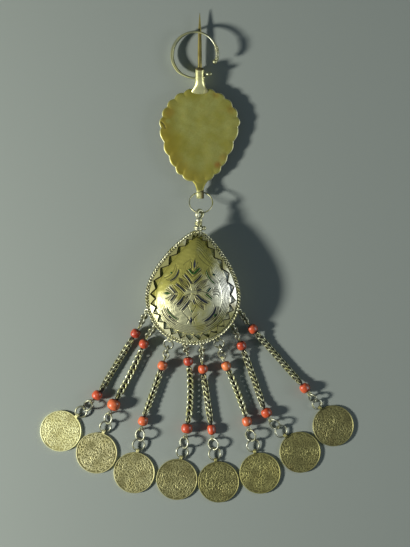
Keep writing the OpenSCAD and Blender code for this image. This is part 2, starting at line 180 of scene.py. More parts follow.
# %% [markdown]
# ## Standing a shape where it belongs
#
# The drops fan out in eight directions, so a bead or a ring is made once round the origin and then
# turned and moved. Turning the numbers, and not the object, keeps every object at the origin, as the
# packed ones are, and the textures in step with each other.

# %% Place a shape along a direction
def turned(points, axis, degrees):
    c, s = math.cos(math.radians(degrees)), math.sin(math.radians(degrees))
    m = {"x": [[1, 0, 0], [0, c, -s], [0, s, c]], "y": [[c, 0, s], [0, 1, 0], [-s, 0, c]],
         "z": [[c, -s, 0], [s, c, 0], [0, 0, 1]]}[axis]
    return np.asarray(points, float) @ np.array(m).T


def stood(shape, axis, degrees, at=(0, 0, 0)):
    points, faces = shape
    return turned(points, axis, degrees) + np.asarray(at, float), faces


def along(shape, at, way, roll=0.0):
    """Stands a shape at a point, with its +X in a direction, rolled about it."""
    rise = math.degrees(math.atan2(way[2], math.hypot(way[0], way[1])))
    rolled = stood(stood(shape, "x", roll), "y", -rise)
    return stood(rolled, "z", math.degrees(math.atan2(way[1], way[0])), at)


def wire_ring(radius, thickness, count=48, sides=10):
    return wire(polar(radius, angles(count)), thickness, sides, closed=True)


print("a ring has", len(wire_ring(1, 0.2)[1]), "faces")

# %% [markdown]
# ## Nothing made by hand is even
#
# A noise texture could dent the surfaces at render time, but then the meshes would stay perfect. A sum
# of a few slow waves in set directions is a cheap, repeatable unevenness that moves the points.

# %% Hand-made unevenness
def unevenness(points, size, seed, waves=9):
    """About -1 to 1, changing over the given size in mm."""
    rng = np.random.default_rng(seed)
    way = unit(rng.normal(size=(waves, 3)))
    stretch = rng.uniform(0.6, 1.6, waves) * 2 * np.pi / (size * 2)
    phase = rng.uniform(0, 2 * np.pi, waves)
    return np.sin(np.asarray(points) @ (way * stretch[:, None]).T + phase).sum(axis=1) / math.sqrt(waves)


def smooth_step(low, high, value):
    share = np.clip((value - low) / (high - low), 0, 1)
    return share * share * (3 - 2 * share)


def distance_to(points, line):
    best = np.full(len(points), 9.0)
    for a, b in zip(line[:-1], line[1:]):
        ab = b - a
        s = np.clip(((points - a) @ ab) / max(ab @ ab, 1e-9), 0, 1)
        best = np.minimum(best, np.linalg.norm(points - a - s[:, None] * ab, axis=1))
    return best


print("unevenness at the origin:", round(float(unevenness([[0, 0, 0]], 5, 1)[0]), 3))

# %% [markdown]
# ## Writing shaders as sums
#
# Old silver is never one colour. Each finish mixes a few tones by noise and by the marks on its points, which hold
# soot, painted shade and painted highlights.
# Drawing those node by node takes pages, so a small class lets a socket be used in a sum.

# %% Sockets that add up
class Value:
    """A socket that can stand in a sum."""

    def __init__(self, recipe, socket):
        self.recipe, self.socket = recipe, socket

    def maths(self, operation, first, second):
        return self.recipe.node("ShaderNodeMath", {"operation": operation}, {0: first, 1: second})

    def __add__(self, other):
        return self.maths("ADD", self, other)

    def __mul__(self, other):
        return self.maths("MULTIPLY", self, other)

    def __rsub__(self, other):
        return self.maths("SUBTRACT", other, self)

    __radd__, __rmul__ = __add__, __mul__


class Recipe:
    """A material and the one way of adding a node to it."""

    def __init__(self, name):
        self.material = bpy.data.materials.new(name)
        self.material.use_nodes = True
        self.tree = self.material.node_tree
        self.shader = self.tree.nodes["Principled BSDF"]

    def node(self, kind, settings=None, sockets=None, output=0):
        made = self.tree.nodes.new(kind)
        for name, setting in (settings or {}).items():
            setattr(made, name, setting)
        for name, value in (sockets or {}).items():
            self.feed(made.inputs[name], value)
        return Value(self, made.outputs[output])

    def feed(self, socket, value):
        if isinstance(value, Value):
            self.tree.links.new(value.socket, socket)
        elif isinstance(value, tuple) and len(value) == 3 and socket.type == "RGBA":
            socket.default_value = (*value, 1)
        else:
            socket.default_value = value

    def place(self):
        return self.node("ShaderNodeTexCoord", output="Object")

    def away(self, x, y, z):
        """The distance from a place that is given in mm."""
        return self.node("ShaderNodeVectorMath", {"operation": "DISTANCE"},
                         {0: self.place(), 1: (x * MM, y * MM, z * MM)}, "Value")

    def close_to(self, x, y, reach, z=10):
        """1 at a place, and 0 from reach mm off."""
        return 1 - self.step(self.away(x, y, z), 0.0, reach * MM)

    def noise(self, size, detail=3.0, seed=0.0):
        """Noise whose spots are about size millimetres."""
        shifted = self.node("ShaderNodeVectorMath", {"operation": "ADD"}, {0: self.place(), 1: (seed, seed * 0.7, 0)})
        return self.node("ShaderNodeTexNoise", {}, {"Vector": shifted, "Scale": 1 / (size * MM), "Detail": detail})

    def marks(self):
        return self.node("ShaderNodeAttribute", {"attribute_name": "marks"}, output="Fac")

    def step(self, value, low, high):
        return self.node("ShaderNodeMapRange", {"interpolation_type": "SMOOTHSTEP"},
                         {"Value": value, "From Min": low, "From Max": high})

    def mix(self, factor, first, second):
        """Sockets 6 and 7 of the node are its two colours, and output 2 is the mixed one."""
        return self.node("ShaderNodeMix", {"data_type": "RGBA"}, {0: factor, 6: first, 7: second}, 2)

    def layered(self, colour, *layers):
        """A colour with layers of (share, tone) over it."""
        for share, tone in layers:
            colour = self.mix(share, colour, tone)
        return colour

    def grain(self, fine, size, seed, strength):
        """A faint bump of fine grain and of broader waves, 0.03 mm deep."""
        return self.bump(fine + 0.6 * self.noise(size, 2.0, seed), strength)

    def bump(self, height, strength):
        return self.node("ShaderNodeBump", {}, {"Height": height, "Distance": 0.03 * MM, "Strength": strength},
                         "Normal")

    def finish(self, **sockets):
        """Feeds the shader's sockets and gives the material back."""
        for name, value in sockets.items():
            self.feed(self.shader.inputs[name.replace("_", " ")], value)
        return self.material


print("operators ready")

# %% [markdown]
# ## The finishes
#
# All the metal here is low silver. Where hands and cloth rub it, it is pale and a little yellow; where
# it is sheltered it goes olive, then brown. So every metal gets the same three tones, and only the
# shares, the size of the spots and the gloss differ. Real tarnish is a film on metal, so the shader
# stays metallic but is rough, and loses some of its metal where the film is thick.

# %% Tones of old silver
PALE = (0.70, 0.70, 0.50)
OLIVE = (0.36, 0.35, 0.12)
BROWN = (0.20, 0.14, 0.04)
# A matte dark tone, for soot in hollows and for painted shade
SOOT_AND_SHADE = (0.028, 0.026, 0.014)


def old_silver(name, pale=PALE, olive=OLIVE, brown=BROWN, dark_tone=SOOT_AND_SHADE, spots=4.0, share=0.5, rough=0.36, grain=0.35,
               dark_range=None, metal=0.9, matte=0.85, more_at=(), painted_highlight_at=()):
    """Silver with tarnish. Share is how much is olive, and the given range of marks feeds a matte dark tone, soot in
    hollows and painted shade, into the marked places.
    More_at is x and y in mm, a reach and an amount: the olive film is thicker or thinner round that place.
    Each place for paler metal is x and y in mm, a reach and the metal that is painted there as a highlight."""
    recipe = Recipe(name)
    cloud = recipe.noise(spots, 4.0)
    fine = recipe.noise(grain, 3.0, 0.3)
    for x, y, reach, amount in more_at:
        cloud = cloud + amount * recipe.close_to(x, y, reach)
    # Paler metal is painted round the listed places as highlights.
    for x, y, reach, highlight_tone in painted_highlight_at:
        pale = recipe.mix(recipe.close_to(x, y, reach), pale, highlight_tone)
    film = recipe.step(cloud + 0.25 * fine, 0.70 - 0.5 * share, 1.06 - 0.4 * share)
    rust = recipe.step(recipe.noise(spots * 1.7, 3.0, 0.9), 0.56, 0.8)
    colour = recipe.layered(pale, (film, olive), (rust * 0.5, brown))
    roughness = rough + 0.16 * film + 0.12 * fine
    metallic = metal - 0.25 * film
    # Marks in the given range take the matte dark tone: soot in real hollows, and painted shade where the marks are set
    # for it.
    if dark_range is not None:
        marked = recipe.step(recipe.marks(), *dark_range)
        colour = recipe.mix(marked, colour, dark_tone)
        roughness = roughness + 0.5 * matte * marked
        metallic = metallic * (1 - matte * marked)
    return recipe.finish(Base_Color=colour, Roughness=roughness, Metallic=metallic,
                         Normal=recipe.grain(fine, grain * 4, 0.5, 0.8))


wire_silver = old_silver("worn silver wire", pale=(0.55, 0.55, 0.37), share=0.55, spots=2.5, rough=0.32)
# The ring's paler spots are painted highlights on its band and its knob.
ring_silver = old_silver("ring silver with painted highlights", pale=(0.385, 0.405, 0.25), share=0.4, spots=6, rough=0.32,
                         dark_range=(0.2, 1.0),
                         painted_highlight_at=[(7.6, 88, 9, (0.8, 0.8, 0.66)), (7.6, 81.7, 2.4, (1, 1, 0.9)),
                                      (-5.8, 76.2, 5.5, (0.85, 0.85, 0.72)), (-1, 95, 5, (0.75, 0.75, 0.62)),
                                      (5.2, 77, 2.4, (1, 1, 0.9))])
chain_silver = old_silver("chain silver", pale=(0.53, 0.55, 0.37), dark_tone=(0.03, 0.028, 0.014), spots=1.6, rough=0.27,
                          dark_range=(0.0, 0.45))
small_ring_silver = old_silver("small ring silver", pale=(0.44, 0.455, 0.37), olive=(0.32, 0.32, 0.17), share=0.55,
                               spots=1.4, rough=0.27, dark_range=(0.2, 1.0))
# A thicker film on the right of the neck's foot paints shade there.
neck_silver = old_silver("neck silver", pale=(0.93, 0.91, 0.45), dark_tone=(0.12, 0.10, 0.03), share=0.2, spots=3,
                         rough=0.4, grain=0.5, dark_range=(0.3, 0.8), more_at=[(4.6, 70.0, 3.8, 1.6)])
pendant_silver = old_silver("pendant silver", share=0.4, spots=3, rough=0.32, dark_range=(0.3, 1.1))
# The teeth at the right are painted paler as a highlight.
tooth_silver = old_silver("tooth silver", pale=(0.84, 0.83, 0.52), olive=(0.36, 0.35, 0.14), share=0.3, spots=3,
                          dark_range=(0.3, 0.9), painted_highlight_at=[(17, -13, 13, (0.97, 0.97, 0.88))],
                          more_at=[(-15, -3, 17, 1.1), (8, 8, 17, 0.9), (12, -32, 15, 0.8), (-19, -9, 15, 1.2)])
edge_silver = old_silver("edge wire silver", pale=(0.62, 0.62, 0.42), share=0.45, spots=2.5, rough=0.3,
                         dark_range=(0.1, 0.75))
# The dome's right is painted whiter as a reflection. The film is thinner at the right and lower left, which paints
# paler metal there as highlights, and thicker at the left, where it is tarnish and also dulls the lamp's highlight.
dome_silver = old_silver("engraved dome silver", pale=(0.80, 0.79, 0.46), olive=(0.35, 0.335, 0.075), share=0.6,
                         spots=6, grain=0.5, dark_range=(0.1, 0.9), painted_highlight_at=[(15, -12, 17, (0.96, 0.96, 0.86))],
                         more_at=[(-8, 0, 24, 0.35), (-22, -9, 11, 0.4), (14, -13, 15, -0.6), (-11, -25, 12, -0.5)])
pin_brass = old_silver("pin brass", pale=(0.36, 0.31, 0.10), olive=(0.24, 0.20, 0.05), brown=(0.14, 0.09, 0.02),
                       spots=3, rough=0.4)
print("finishes so far:", len(bpy.data.materials))

# %% [markdown]
# The plate's back has its own look: an even olive that turns golden brown towards the lower left, with
# a rim and a few spots painted pale silver as highlights, and a few rusty stains near the edge.

# %% Finish of the plate
RUST, WARM, GOLD = (0.36, 0.13, 0.02), (0.36, 0.22, 0.03), (0.345, 0.285, 0.025)
# Columns: x, y in mm; reach; share; colour
STAINS = [(-10.4, 48.5, 8, 0.55, GOLD), (-11.4, 60.8, 3.6, 0.4, WARM), (14.2, 62, 3.4, 0.4, WARM),
          (7.9, 68.4, 3, 0.45, WARM), (11, 42, 3.2, 0.5, WARM), (8.6, 38.9, 2.8, 0.65, RUST)]


def plate_finish():
    recipe = Recipe("plate silver")
    marked = recipe.marks()
    fine = recipe.noise(0.45, 4.0, 0.3)
    # Negative marks paint the rim and a few spots pale and glossy as highlights.
    painted_highlight = recipe.step(marked, -0.1, -0.8)
    colour = recipe.layered((0.40, 0.405, 0.112),
                            (recipe.step(recipe.noise(7, 4.0) + 0.3 * fine, 0.45, 0.9), (0.335, 0.315, 0.047)),
                            (0.5 * recipe.step(recipe.noise(1.8, 4.0, 0.8), 0.45, 0.75), (0.40, 0.36, 0.085)),
                            (recipe.step(marked, 0.1, 0.9), (0.335, 0.275, 0.035)),
                            (recipe.step(marked, 1.0, 1.6), (0.07, 0.055, 0.016)),
                            (0.28 * recipe.step(recipe.noise(0.7, 4.0, 0.5), 0.45, 0.6), (0.30, 0.29, 0.06)))
    for x, y, reach, share, tone in STAINS:
        off = recipe.step(recipe.away(x, y, 4) + 1.2 * MM * fine, 0.3 * reach * MM, reach * MM)
        colour = recipe.mix((1 - off) * share, colour, tone)
    return recipe.finish(Base_Color=recipe.mix(painted_highlight, colour, (0.80, 0.79, 0.52)),
                         Roughness=0.52 - 0.15 * painted_highlight + 0.1 * fine, Metallic=0.6 + 0.3 * painted_highlight,
                         Normal=recipe.grain(fine, 2, 0.5, 0.7))


plate_silver = plate_finish()
print("the plate's stains:", len(STAINS))

# %% [markdown]
# ## The plate's back
#
# The plate is hammered sheet with scallops cut round its edge and shallow flutes running in from them.
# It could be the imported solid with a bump, but its edge would stay knife-sharp. Rows of points that
# shrink to the middle, with a turned-down edge, give it a soft rim that catches the light.

# %% Plate outline and rows
PLATE_AT = np.array([1.1, 54.6])
PLATE_HALF, PLATE_UP, PLATE_DOWN = 17.2, 16.8, 22.3
PLATE_LOW, PLATE_HIGH = 2.9, 4.1
SCALLOPS, SCALLOP_DEPTH = 22, 0.8


def plate_outline(t):
    s = np.abs(np.sin(t))
    pull = 1 - 0.15 * np.sin(np.pi * s ** 1.6)
    upper = np.sin(t) >= 0
    x = PLATE_HALF * np.cos(t) * np.where(upper, 1, pull)
    y = np.where(upper, PLATE_UP, PLATE_DOWN) * np.sin(t)
    turn = np.degrees(t) % 360
    left = smooth_step(188, 212, turn) * (1 - smooth_step(248, 268, turn))
    right = np.exp(-(((turn - 350 + 180) % 360 - 180) / 12) ** 2)
    tip = np.exp(-(x / 4.4) ** 2) * (y < 0)
    return np.stack([x - 1.2 * left - 0.8 * right, y - 0.35 * left - 1.7 * tip], axis=1)


plate_t = angles(SCALLOPS * 14)
edge = plate_outline(plate_t)
edge_way = plate_outline(plate_t + 0.01) - plate_outline(plate_t - 0.01)
edge_out = unit(np.stack([edge_way[:, 1], -edge_way[:, 0]], axis=1))
lobe = 1 - np.abs(np.sin(plate_t * SCALLOPS / 2))
scalloped = edge - edge_out * (SCALLOP_DEPTH * lobe)[:, None]
print("plate stations:", len(plate_t), "scallops:", SCALLOPS)

# %% [markdown]
# The flutes fade out within three millimetres of the edge. On the real plate the left edge has a
# small worn break, with a dark line running in from it.

# %% Plate skin
PLATE_RINGS = [0.02, *np.arange(0.06, 0.83, 0.045), 0.84, 0.87, 0.9, 0.925, 0.95, 0.965]
BREAK = np.array([[-15.2, 57.0], [-14.0, 55.9], [-13.3, 54.3]])
# Painted highlights, as pale spots. Columns: x, y; reach; amount
PAINTED_HIGHLIGHTS_AT = [(-12.3, 57.2, 0.8, 1.1), (11.6, 66.9, 1.3, 0.8)]
FLUTE_DEEP, CRACK_DEEP = 0.22, 0.2
# Columns: inset, height, marks; the negative marks paint the rim pale as a highlight
PLATE_EDGE = [(0.34, 4.02, 0.1), (0.22, 3.94, -0.7), (0.08, 3.78, -1.0), (0.0, 3.5, -0.6), (0.05, 3.15, 0.3),
              (0.3, 2.9, 0.6)]


def plate_sheet():
    rows, marks = [], []
    out = unit(scalloped)
    low_left = smooth_step(0.1, 0.9, -0.9 * out[:, 0] - 0.44 * out[:, 1])
    for share in PLATE_RINGS:
        flat = PLATE_AT + scalloped * share
        flute = lobe * smooth_step(0.84, 0.98, share)
        crack = 1 - smooth_step(0.05, 0.45, distance_to(flat, BREAK))
        # Pale spots are painted highlights.
        pale_spot = sum(much * np.exp(-(np.linalg.norm(flat - [x, y], axis=1) / reach) ** 2)
                   for x, y, reach, much in PAINTED_HIGHLIGHTS_AT)
        p = at_height(flat, PLATE_HIGH)
        bow = 0.22 * np.minimum(((flat - PLATE_AT) ** 2 / [300, 400]).sum(axis=1), 1) - 0.12
        p[:, 2] += (bow - FLUTE_DEEP * flute - CRACK_DEEP * crack
                    + 0.07 * unevenness(p, 5, 3) + 0.03 * unevenness(p, 1.6, 4))
        rows.append(p)
        marks.append((0.3 + 0.6 * low_left) * smooth_step(0.5, 0.9, share) + 0.12 * flute + 0.8 * crack - pale_spot)
    for inset, z, dent in PLATE_EDGE:
        rows.append(at_height(PLATE_AT + scalloped - edge_out * inset, z))
        marks.append(np.full(len(plate_t), dent))
    rows.append(at_height(PLATE_AT + scalloped * 0.5, PLATE_LOW))
    marks.append(np.full(len(plate_t), 0.6))
    return skin(rows, caps=True), np.concatenate(marks)


plate_shape, plate_marks = plate_sheet()
print("plate faces:", len(plate_shape[1]))

# %% [markdown]
# ## The neck and the rolled tail
#
# Above the plate a solid neck carries the pin and lets the ring slide through. Its sides curve in and
# its foot spreads on the plate like a small cup. A stack of rounded sections, listed from foot to top,
# makes it. The passage for the ring is then cut with a Boolean, as a smith would file it.

# %% Sections of the neck and the tail
# Columns: y, half width, bottom, top
NECK = [(68.5, 1.2, 3.5, 4.1), (68.75, 2.5, 3.4, 4.25), (69.1, 3.3, 3.3, 4.45), (69.7, 3.6, 3.2, 4.7),
        (70.4, 3.15, 3.0, 5.1), (71.3, 2.6, 2.6, 5.7), (72.3, 2.2, 1.6, 6.2), (73.6, 2.0, 0.9, 6.5),
        (75.5, 1.93, 0.9, 6.5), (77.4, 1.9, 0.9, 6.5), (78.7, 1.85, 0.9, 6.4), (79.3, 1.65, 1.1, 6.0),
        (79.5, 1.2, 1.5, 5.4)]
TAIL = [(35.0, 2.2, 3.2, 3.8), (33.2, 3.6, 3.0, 3.95), (32.3, 3.5, 3.0, 4.1), (31.5, 2.75, 3.0, 4.2),
        (30.7, 2.2, 3.0, 4.3), (29.9, 1.85, 2.9, 4.45), (29.0, 1.6, 2.6, 4.7), (28.2, 1.5, 2.2, 4.9)]


def squarish(value, corner):
    """Rounds a square as a power of a sine or cosine."""
    return np.sign(value) * np.abs(value) ** corner


def lofted(table, middle_x, corner=0.625, count=28, steps=4):
    """Rounded sections across x and z, stacked along y, with steps between the rows of the table."""
    at = np.linspace(0, len(table) - 1, (len(table) - 1) * steps + 1)
    angle = angles(count) + np.pi / count
    across, upward = squarish(np.cos(angle), corner), squarish(np.sin(angle), corner)
    rows = []
    for y, half, low, high in zip(*(np.interp(at, np.arange(len(table)), column) for column in zip(*table))):
        rows.append(np.column_stack([middle_x + half * across, np.full(count, y),
                                     (low + high) / 2 + (high - low) / 2 * upward]))
    return skin(rows, caps=True)


neck_shape = lofted(NECK, PLATE_AT[0])
tail_shape = lofted(TAIL, 1.2)
print("neck and tail faces:", len(neck_shape[1]), len(tail_shape[1]))

# %% [markdown]
# The tail ends in a roll, a short tube across the brooch in which the jump ring hangs. It is wound up
# from the sheet, so it is a band with a seam and slightly flared ends.

# %% The roll and the cutters
ROLL_AT = np.array([1.3, 27.4, 3.5])
RING_AT = np.array([-1.0, 84.9, 4.1])
RING_TILT = 11.0
# The passage's section, with its running gap. Columns: radius, height
PASSAGE = [(8.7, 1.25), (10.55, 1.25), (10.55, -1.25), (8.7, -1.25)]
BORE_RADIUS, BORE_DEEP, BORE_AT = 1.05, 6, [PLATE_AT[0], 77.0, 2.4]
# The band's section. Columns: share of its half width, height over its middle
ROLL_SECTION = [(-1, -0.28), (-0.9, -0.36), (0.9, -0.36), (1, -0.28), (1, 0.22), (0.9, 0.3), (-0.9, 0.3), (-1, 0.22)]


def roll_band():
    angle = math.radians(60) - 2 * np.pi * np.linspace(0, 0.97, 40)
    rows = []
    for a, r, half in zip(angle, np.linspace(1.18, 1.23, 40), 1.45 - 0.12 * np.cos(angle - 1.2)):
        out = np.array([0, 1.38 * math.cos(a), math.sin(a)])
        rows.append([ROLL_AT + [x * half, -0.5, 0] + out * (r + up) for x, up in ROLL_SECTION])
    return skin(rows, caps=True)


def at_ring(shape):
    return stood(shape, "y", -RING_TILT, RING_AT)


def passage():
    """The space of the ring's band, as a cutter."""
    radius, z = np.transpose(PASSAGE)
    return at_ring(skin([polar(radius, a, z) for a in np.radians(np.linspace(240, 320, 60))], caps=True))


def bore():
    return stood(spun([(BORE_RADIUS, 0), (BORE_RADIUS, BORE_DEEP)]), "x", -90, BORE_AT)


print("roll faces:", len(roll_band()[1]))

# %% Cut the neck and join the fibula
def cut(shape, cutters, name):
    """A Boolean difference, worked out here so that no modifier is left."""
    solid = as_piece(name, shape)
    for cutter in cutters:
        tool = as_piece("cutter", cutter)
        modifier = solid.modifiers.new("cut", "BOOLEAN")
        modifier.operation = "DIFFERENCE"
        modifier.solver = "EXACT"
        modifier.object = tool
        depsgraph = bpy.context.evaluated_depsgraph_get()
        mesh = bpy.data.meshes.new_from_object(solid.evaluated_get(depsgraph))
        solid.modifiers.clear()
        solid.data = mesh
        bpy.data.objects.remove(tool)
    points = np.array([v.co[:] for v in solid.data.vertices]) / MM
    faces = [tuple(p.vertices) for p in solid.data.polygons]
    bpy.data.objects.remove(solid)
    return points, faces


def socket_tarnish_and_shade(points):
    """The lip of the pin's socket is dark, and the right of the foot is painted a little darker as shade."""
    off = points[:, 0] - PLATE_AT[0]
    foot = smooth_step(0.6, 2.4, off) * (1 - smooth_step(71, 75, points[:, 1]))
    return np.clip(0.1 + 0.5 * foot + 0.9 * smooth_step(77.7, 78.3, points[:, 1] - 0.22 * off ** 2), 0, 1)


neck_cut = cut(neck_shape, [passage(), bore()], "neck")
plate_and_tail = joined([plate_shape, tail_shape])
fibula_plate = as_piece("fibula_plate_back", plate_and_tail, marks=filled(plate_marks, plate_and_tail, 0.45),
                        material=plate_silver)
fibula_neck = as_piece("fibula_neck", neck_cut, marks=socket_tarnish_and_shade(neck_cut[0]), material=neck_silver)
roll_shape = roll_band()
# The roll's right end is painted darker as shade.
tail_roll = as_piece("tail_roll", roll_shape, marks=0.9 * smooth_step(0.75, 1.3, roll_shape[0][:, 0] - ROLL_AT[0]),
                     material=neck_silver)
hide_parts("fibula_plate")
print("plate, neck and roll faces:", [len(p.data.polygons) for p in (fibula_plate, fibula_neck, tail_roll)])

# %% [markdown]
# ## The open ring
#
# The ring is a flat band that stands on edge and tapers from its middle to its two ends. The packed
# solid has sharp corners. Here a rounded section runs along the same arc, and its height shrinks with
# the same slope, so it still fits the passage in the neck. At the left the photograph shows two edges
# with a groove between them, so the section is grooved there.

# %% Band of the ring
RING_OUTER, RING_THICK = 10.3, 1.35
BAND_WIDE, BAND_NARROW = 2.0, 1.3
RING_MIDDLE = RING_OUTER - RING_THICK / 2
# Half of the band's thickness, and what the double edge at the left adds to it
BAND_HALF, DOUBLE_HALF = 0.46, 0.19
GROOVE_DEEP = 0.3


def ring_band():
    corner = angles(24) + np.pi / 24
    across, upward = squarish(np.cos(corner), 0.55), squarish(np.sin(corner), 0.55)
    rows, marks = [], []
    for a in np.radians(np.linspace(342, 666, 150)):
        right = math.cos(a)
        height = BAND_WIDE + (BAND_NARROW - BAND_WIDE) * (RING_MIDDLE * right + RING_OUTER) / (2 * RING_OUTER)
        double = smooth_step(0.35, 0.85, -right)
        groove = double * np.exp(-(across / 0.3) ** 2) * (np.abs(upward) > 0.7)
        rows.append(polar(RING_MIDDLE + (BAND_HALF + DOUBLE_HALF * double) * across, a,
                          0.97 * height / 2 * upward - GROOVE_DEEP * groove * np.sign(upward)))
        marks.append(0.15 + 0.85 * groove)
    points, faces = skin(rows, caps=True)
    points = points + 0.03 * unevenness(points, 2.5, 11)[:, None] * unit(points)
    return (points, faces), np.concatenate(marks)


band, band_dents = ring_band()
print("band faces:", len(band[1]))

# %% [markdown]
# One end is bound with fine wire, set with granules and closed with a ball, and the other has a small
# knob. The binding is one wire that winds round the band, so it is a helix bent along the ring's arc.

# %% Wound wire, ball and knob
WOUND_FROM, WOUND_TO, WOUND_TURNS = 347.0, 380.0, 11
WOUND_OUT, WOUND_UP, WOUND_WIRE = 0.66, 0.8, 0.19


def winding(steps=14):
    share = np.linspace(0, 1, WOUND_TURNS * steps + 1)
    w = 2 * np.pi * WOUND_TURNS * share
    a = np.radians(WOUND_FROM + (WOUND_TO - WOUND_FROM) * share)
    return wire(polar(RING_MIDDLE + WOUND_OUT * np.cos(w), a, WOUND_UP * np.sin(w)), WOUND_WIRE, 7)


def ball(radius, at, count=20, grow=(1, 1, 1)):
    lift = np.linspace(0.12 - 0.5 * math.pi, 0.5 * math.pi - 0.12, 12)
    points, faces = spun(polar(radius, lift)[:, :2], count)
    return points * grow + at, faces


def on_ring(degrees, radius, z=0.0):
    return polar(radius, math.radians(degrees), z)


# Columns: degrees round the ring, mm out from the band's middle
GRANULES = [(351, 0.5), (355.5, -0.35), (359, 0.55), (364, -0.2), (367.5, 0.6), (372, 0.1), (376.5, 0.5)]
wound = winding()
ring_parts = joined([band, wound, ball(1.0, on_ring(341, RING_MIDDLE - 0.5)),
                     ball(1.05, on_ring(667.5, RING_MIDDLE + 0.1) + [0.1, -0.35, 0], grow=(1.35, 0.9, 0.95)),
                     *(ball(0.29, on_ring(a, RING_MIDDLE + r, 0.74), 12) for a, r in GRANULES)])
bound_dents = np.concatenate([band_dents, np.full(len(wound[0]), 0.15)])
open_ring = as_piece("open_ring", at_ring(ring_parts), "ring", marks=filled(bound_dents, ring_parts, -0.5),
                     material=ring_silver)
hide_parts("fibula_ring")
print("open ring faces:", len(ring_parts[1]))

# %% [markdown]
# ## The pin
#
# A hand-forged pin isn't a clean cone: it is hammered slightly square and draws out to a long point.
# A spun profile with four soft flats and a little unevenness gives that without leaving its place.

# %% Forged pin
PIN_SEAT = np.array([1.1, 77.2, 2.4])
PIN_LENGTH, PIN_RADIUS = 25.4, 0.95


def forged_pin():
    share = np.concatenate([np.linspace(0, 0.7, 30), np.linspace(0.72, 1, 18)])
    radius = PIN_RADIUS * np.interp(share, [0, 0.3, 0.7, 0.9, 1], [1, 1, 0.76, 0.36, 0.1])
    angle = angles(24)
    flats = 1 - 0.05 * np.cos(4 * angle)
    points, faces = skin([polar(r * flats, angle, s * PIN_LENGTH) for s, r in zip(share, radius)], caps=True)
    points[:, :2] *= (0.97 + 0.03 * unevenness(points, 1.8, 21))[:, None]
    return stood((points, faces), "x", -90, PIN_SEAT)


forged = as_piece("forged_pin", forged_pin(), material=pin_brass)
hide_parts("pin")
print("pin is", PIN_LENGTH, "mm long")

# %% [markdown]
# ## The pendant's outline
#
# The pendant is a half circle below that is drawn in to a point above. Everything on it, from its
# back to the folded strip and the edge wires, follows that one outline at some distance inside it.

# %% Outline of the pendant
PENDANT_AT = np.array([-1.7, -16.4])
PENDANT_TURN = -4.3
PENDANT_HALF, PENDANT_UP = 19.7, 27.7
TOP_EASE = 0.35


def outline(t):
    s = np.sin(t)
    lift = np.clip(s, 0, 1)
    x = PENDANT_HALF * np.cos(t) * (1 - 0.45 * lift ** 1.8)
    y = np.where(s >= 0, PENDANT_UP * s, PENDANT_HALF * s)
    return np.stack([x, y], axis=-1)


def inset_outline(t, inset):
    t = np.asarray(t, float)
    d = outline(t + 0.017) - outline(t - 0.017)
    normal = unit(np.stack([d[..., 1], -d[..., 0]], axis=-1))
    ease = 1 - TOP_EASE * np.clip(np.sin(t), 0, 1) ** 4
    return outline(t) - (np.asarray(inset) * ease)[..., None] * normal


def by_length(count, inset):
    """Outline angles at even steps along the edge."""
    t = np.linspace(0, 2 * np.pi, 2001)
    p = inset_outline(t, inset)
    run = np.concatenate([[0], np.cumsum(np.linalg.norm(np.diff(p, axis=0), axis=1))])
    return np.interp(np.arange(count) / count * run[-1], run, t), run[-1]


def at_pendant(shape):
    return stood(shape, "z", PENDANT_TURN, [*PENDANT_AT, 0])


edge_length = by_length(10, 0.4)[1]
print("the pendant's edge is", round(edge_length, 1), "mm long")

# %% [markdown]
# ## The pendant's back
#
# The back is a hollow shell, raised from sheet. It is hidden in the photograph, so it stays smooth,
# with the unevenness of hammered sheet.

# %% Back shell and ledge
LEDGE_Z = 9.0
# Columns: share of the outline, height
BACK_OUTSIDE = [(0.1, 0.05), (0.3, 0.35), (0.45, 0.8), (0.58, 1.4), (0.7, 2.15), (0.8, 3.1), (0.88, 4.15), (0.94, 5.4),
                (0.975, 6.8)]
BACK_INSIDE = [(0.88, 6.1), (0.74, 4.1), (0.5, 2.4), (0.2, 1.7)]
# Columns: inset, height, painted shade
BACK_EDGE = [(0.12, 7.7, 0.2), (0.0, 8.0, 0.2), (0.0, 8.7, 0.2), (0.15, 8.95, 0.2), (0.5, LEDGE_Z, 0.6),
             (2.4, LEDGE_Z, 1), (4.0, LEDGE_Z, 1)]


def back_shell():
    t = angles(168)
    rows = [at_height(outline(t) * s, z) for s, z in BACK_OUTSIDE]
    rows += [at_height(inset_outline(t, inset), z) for inset, z, _ in BACK_EDGE]
    rows += [at_height(outline(t) * s, z) for s, z in BACK_INSIDE]
    points, faces = skin(rows, caps=True)
    low = points[:, 2] < 7
    points[low, 2] += 0.05 * unevenness(points[low], 4, 31)
    points[:, 2] = np.maximum(points[:, 2], 0.02)
    # The ledge under the teeth and the inside of the shell are painted dark as shade.
    dark_tone = [0.2] * len(BACK_OUTSIDE) + [dark for _, _, dark in BACK_EDGE] + [1.0] * len(BACK_INSIDE)
    return points, faces, np.repeat(dark_tone, len(t))


print("back faces:", len(back_shell()[1]))

# %% [markdown]
# ## The edge wires
#
# Two ropes run round the rim, each twisted from two wires. The outer one is thicker, and the inner one
# is twisted the other way, which is what makes a herringbone. Two strands a half turn apart wind round
# the edge path, and each crossing shows as a bright bead.

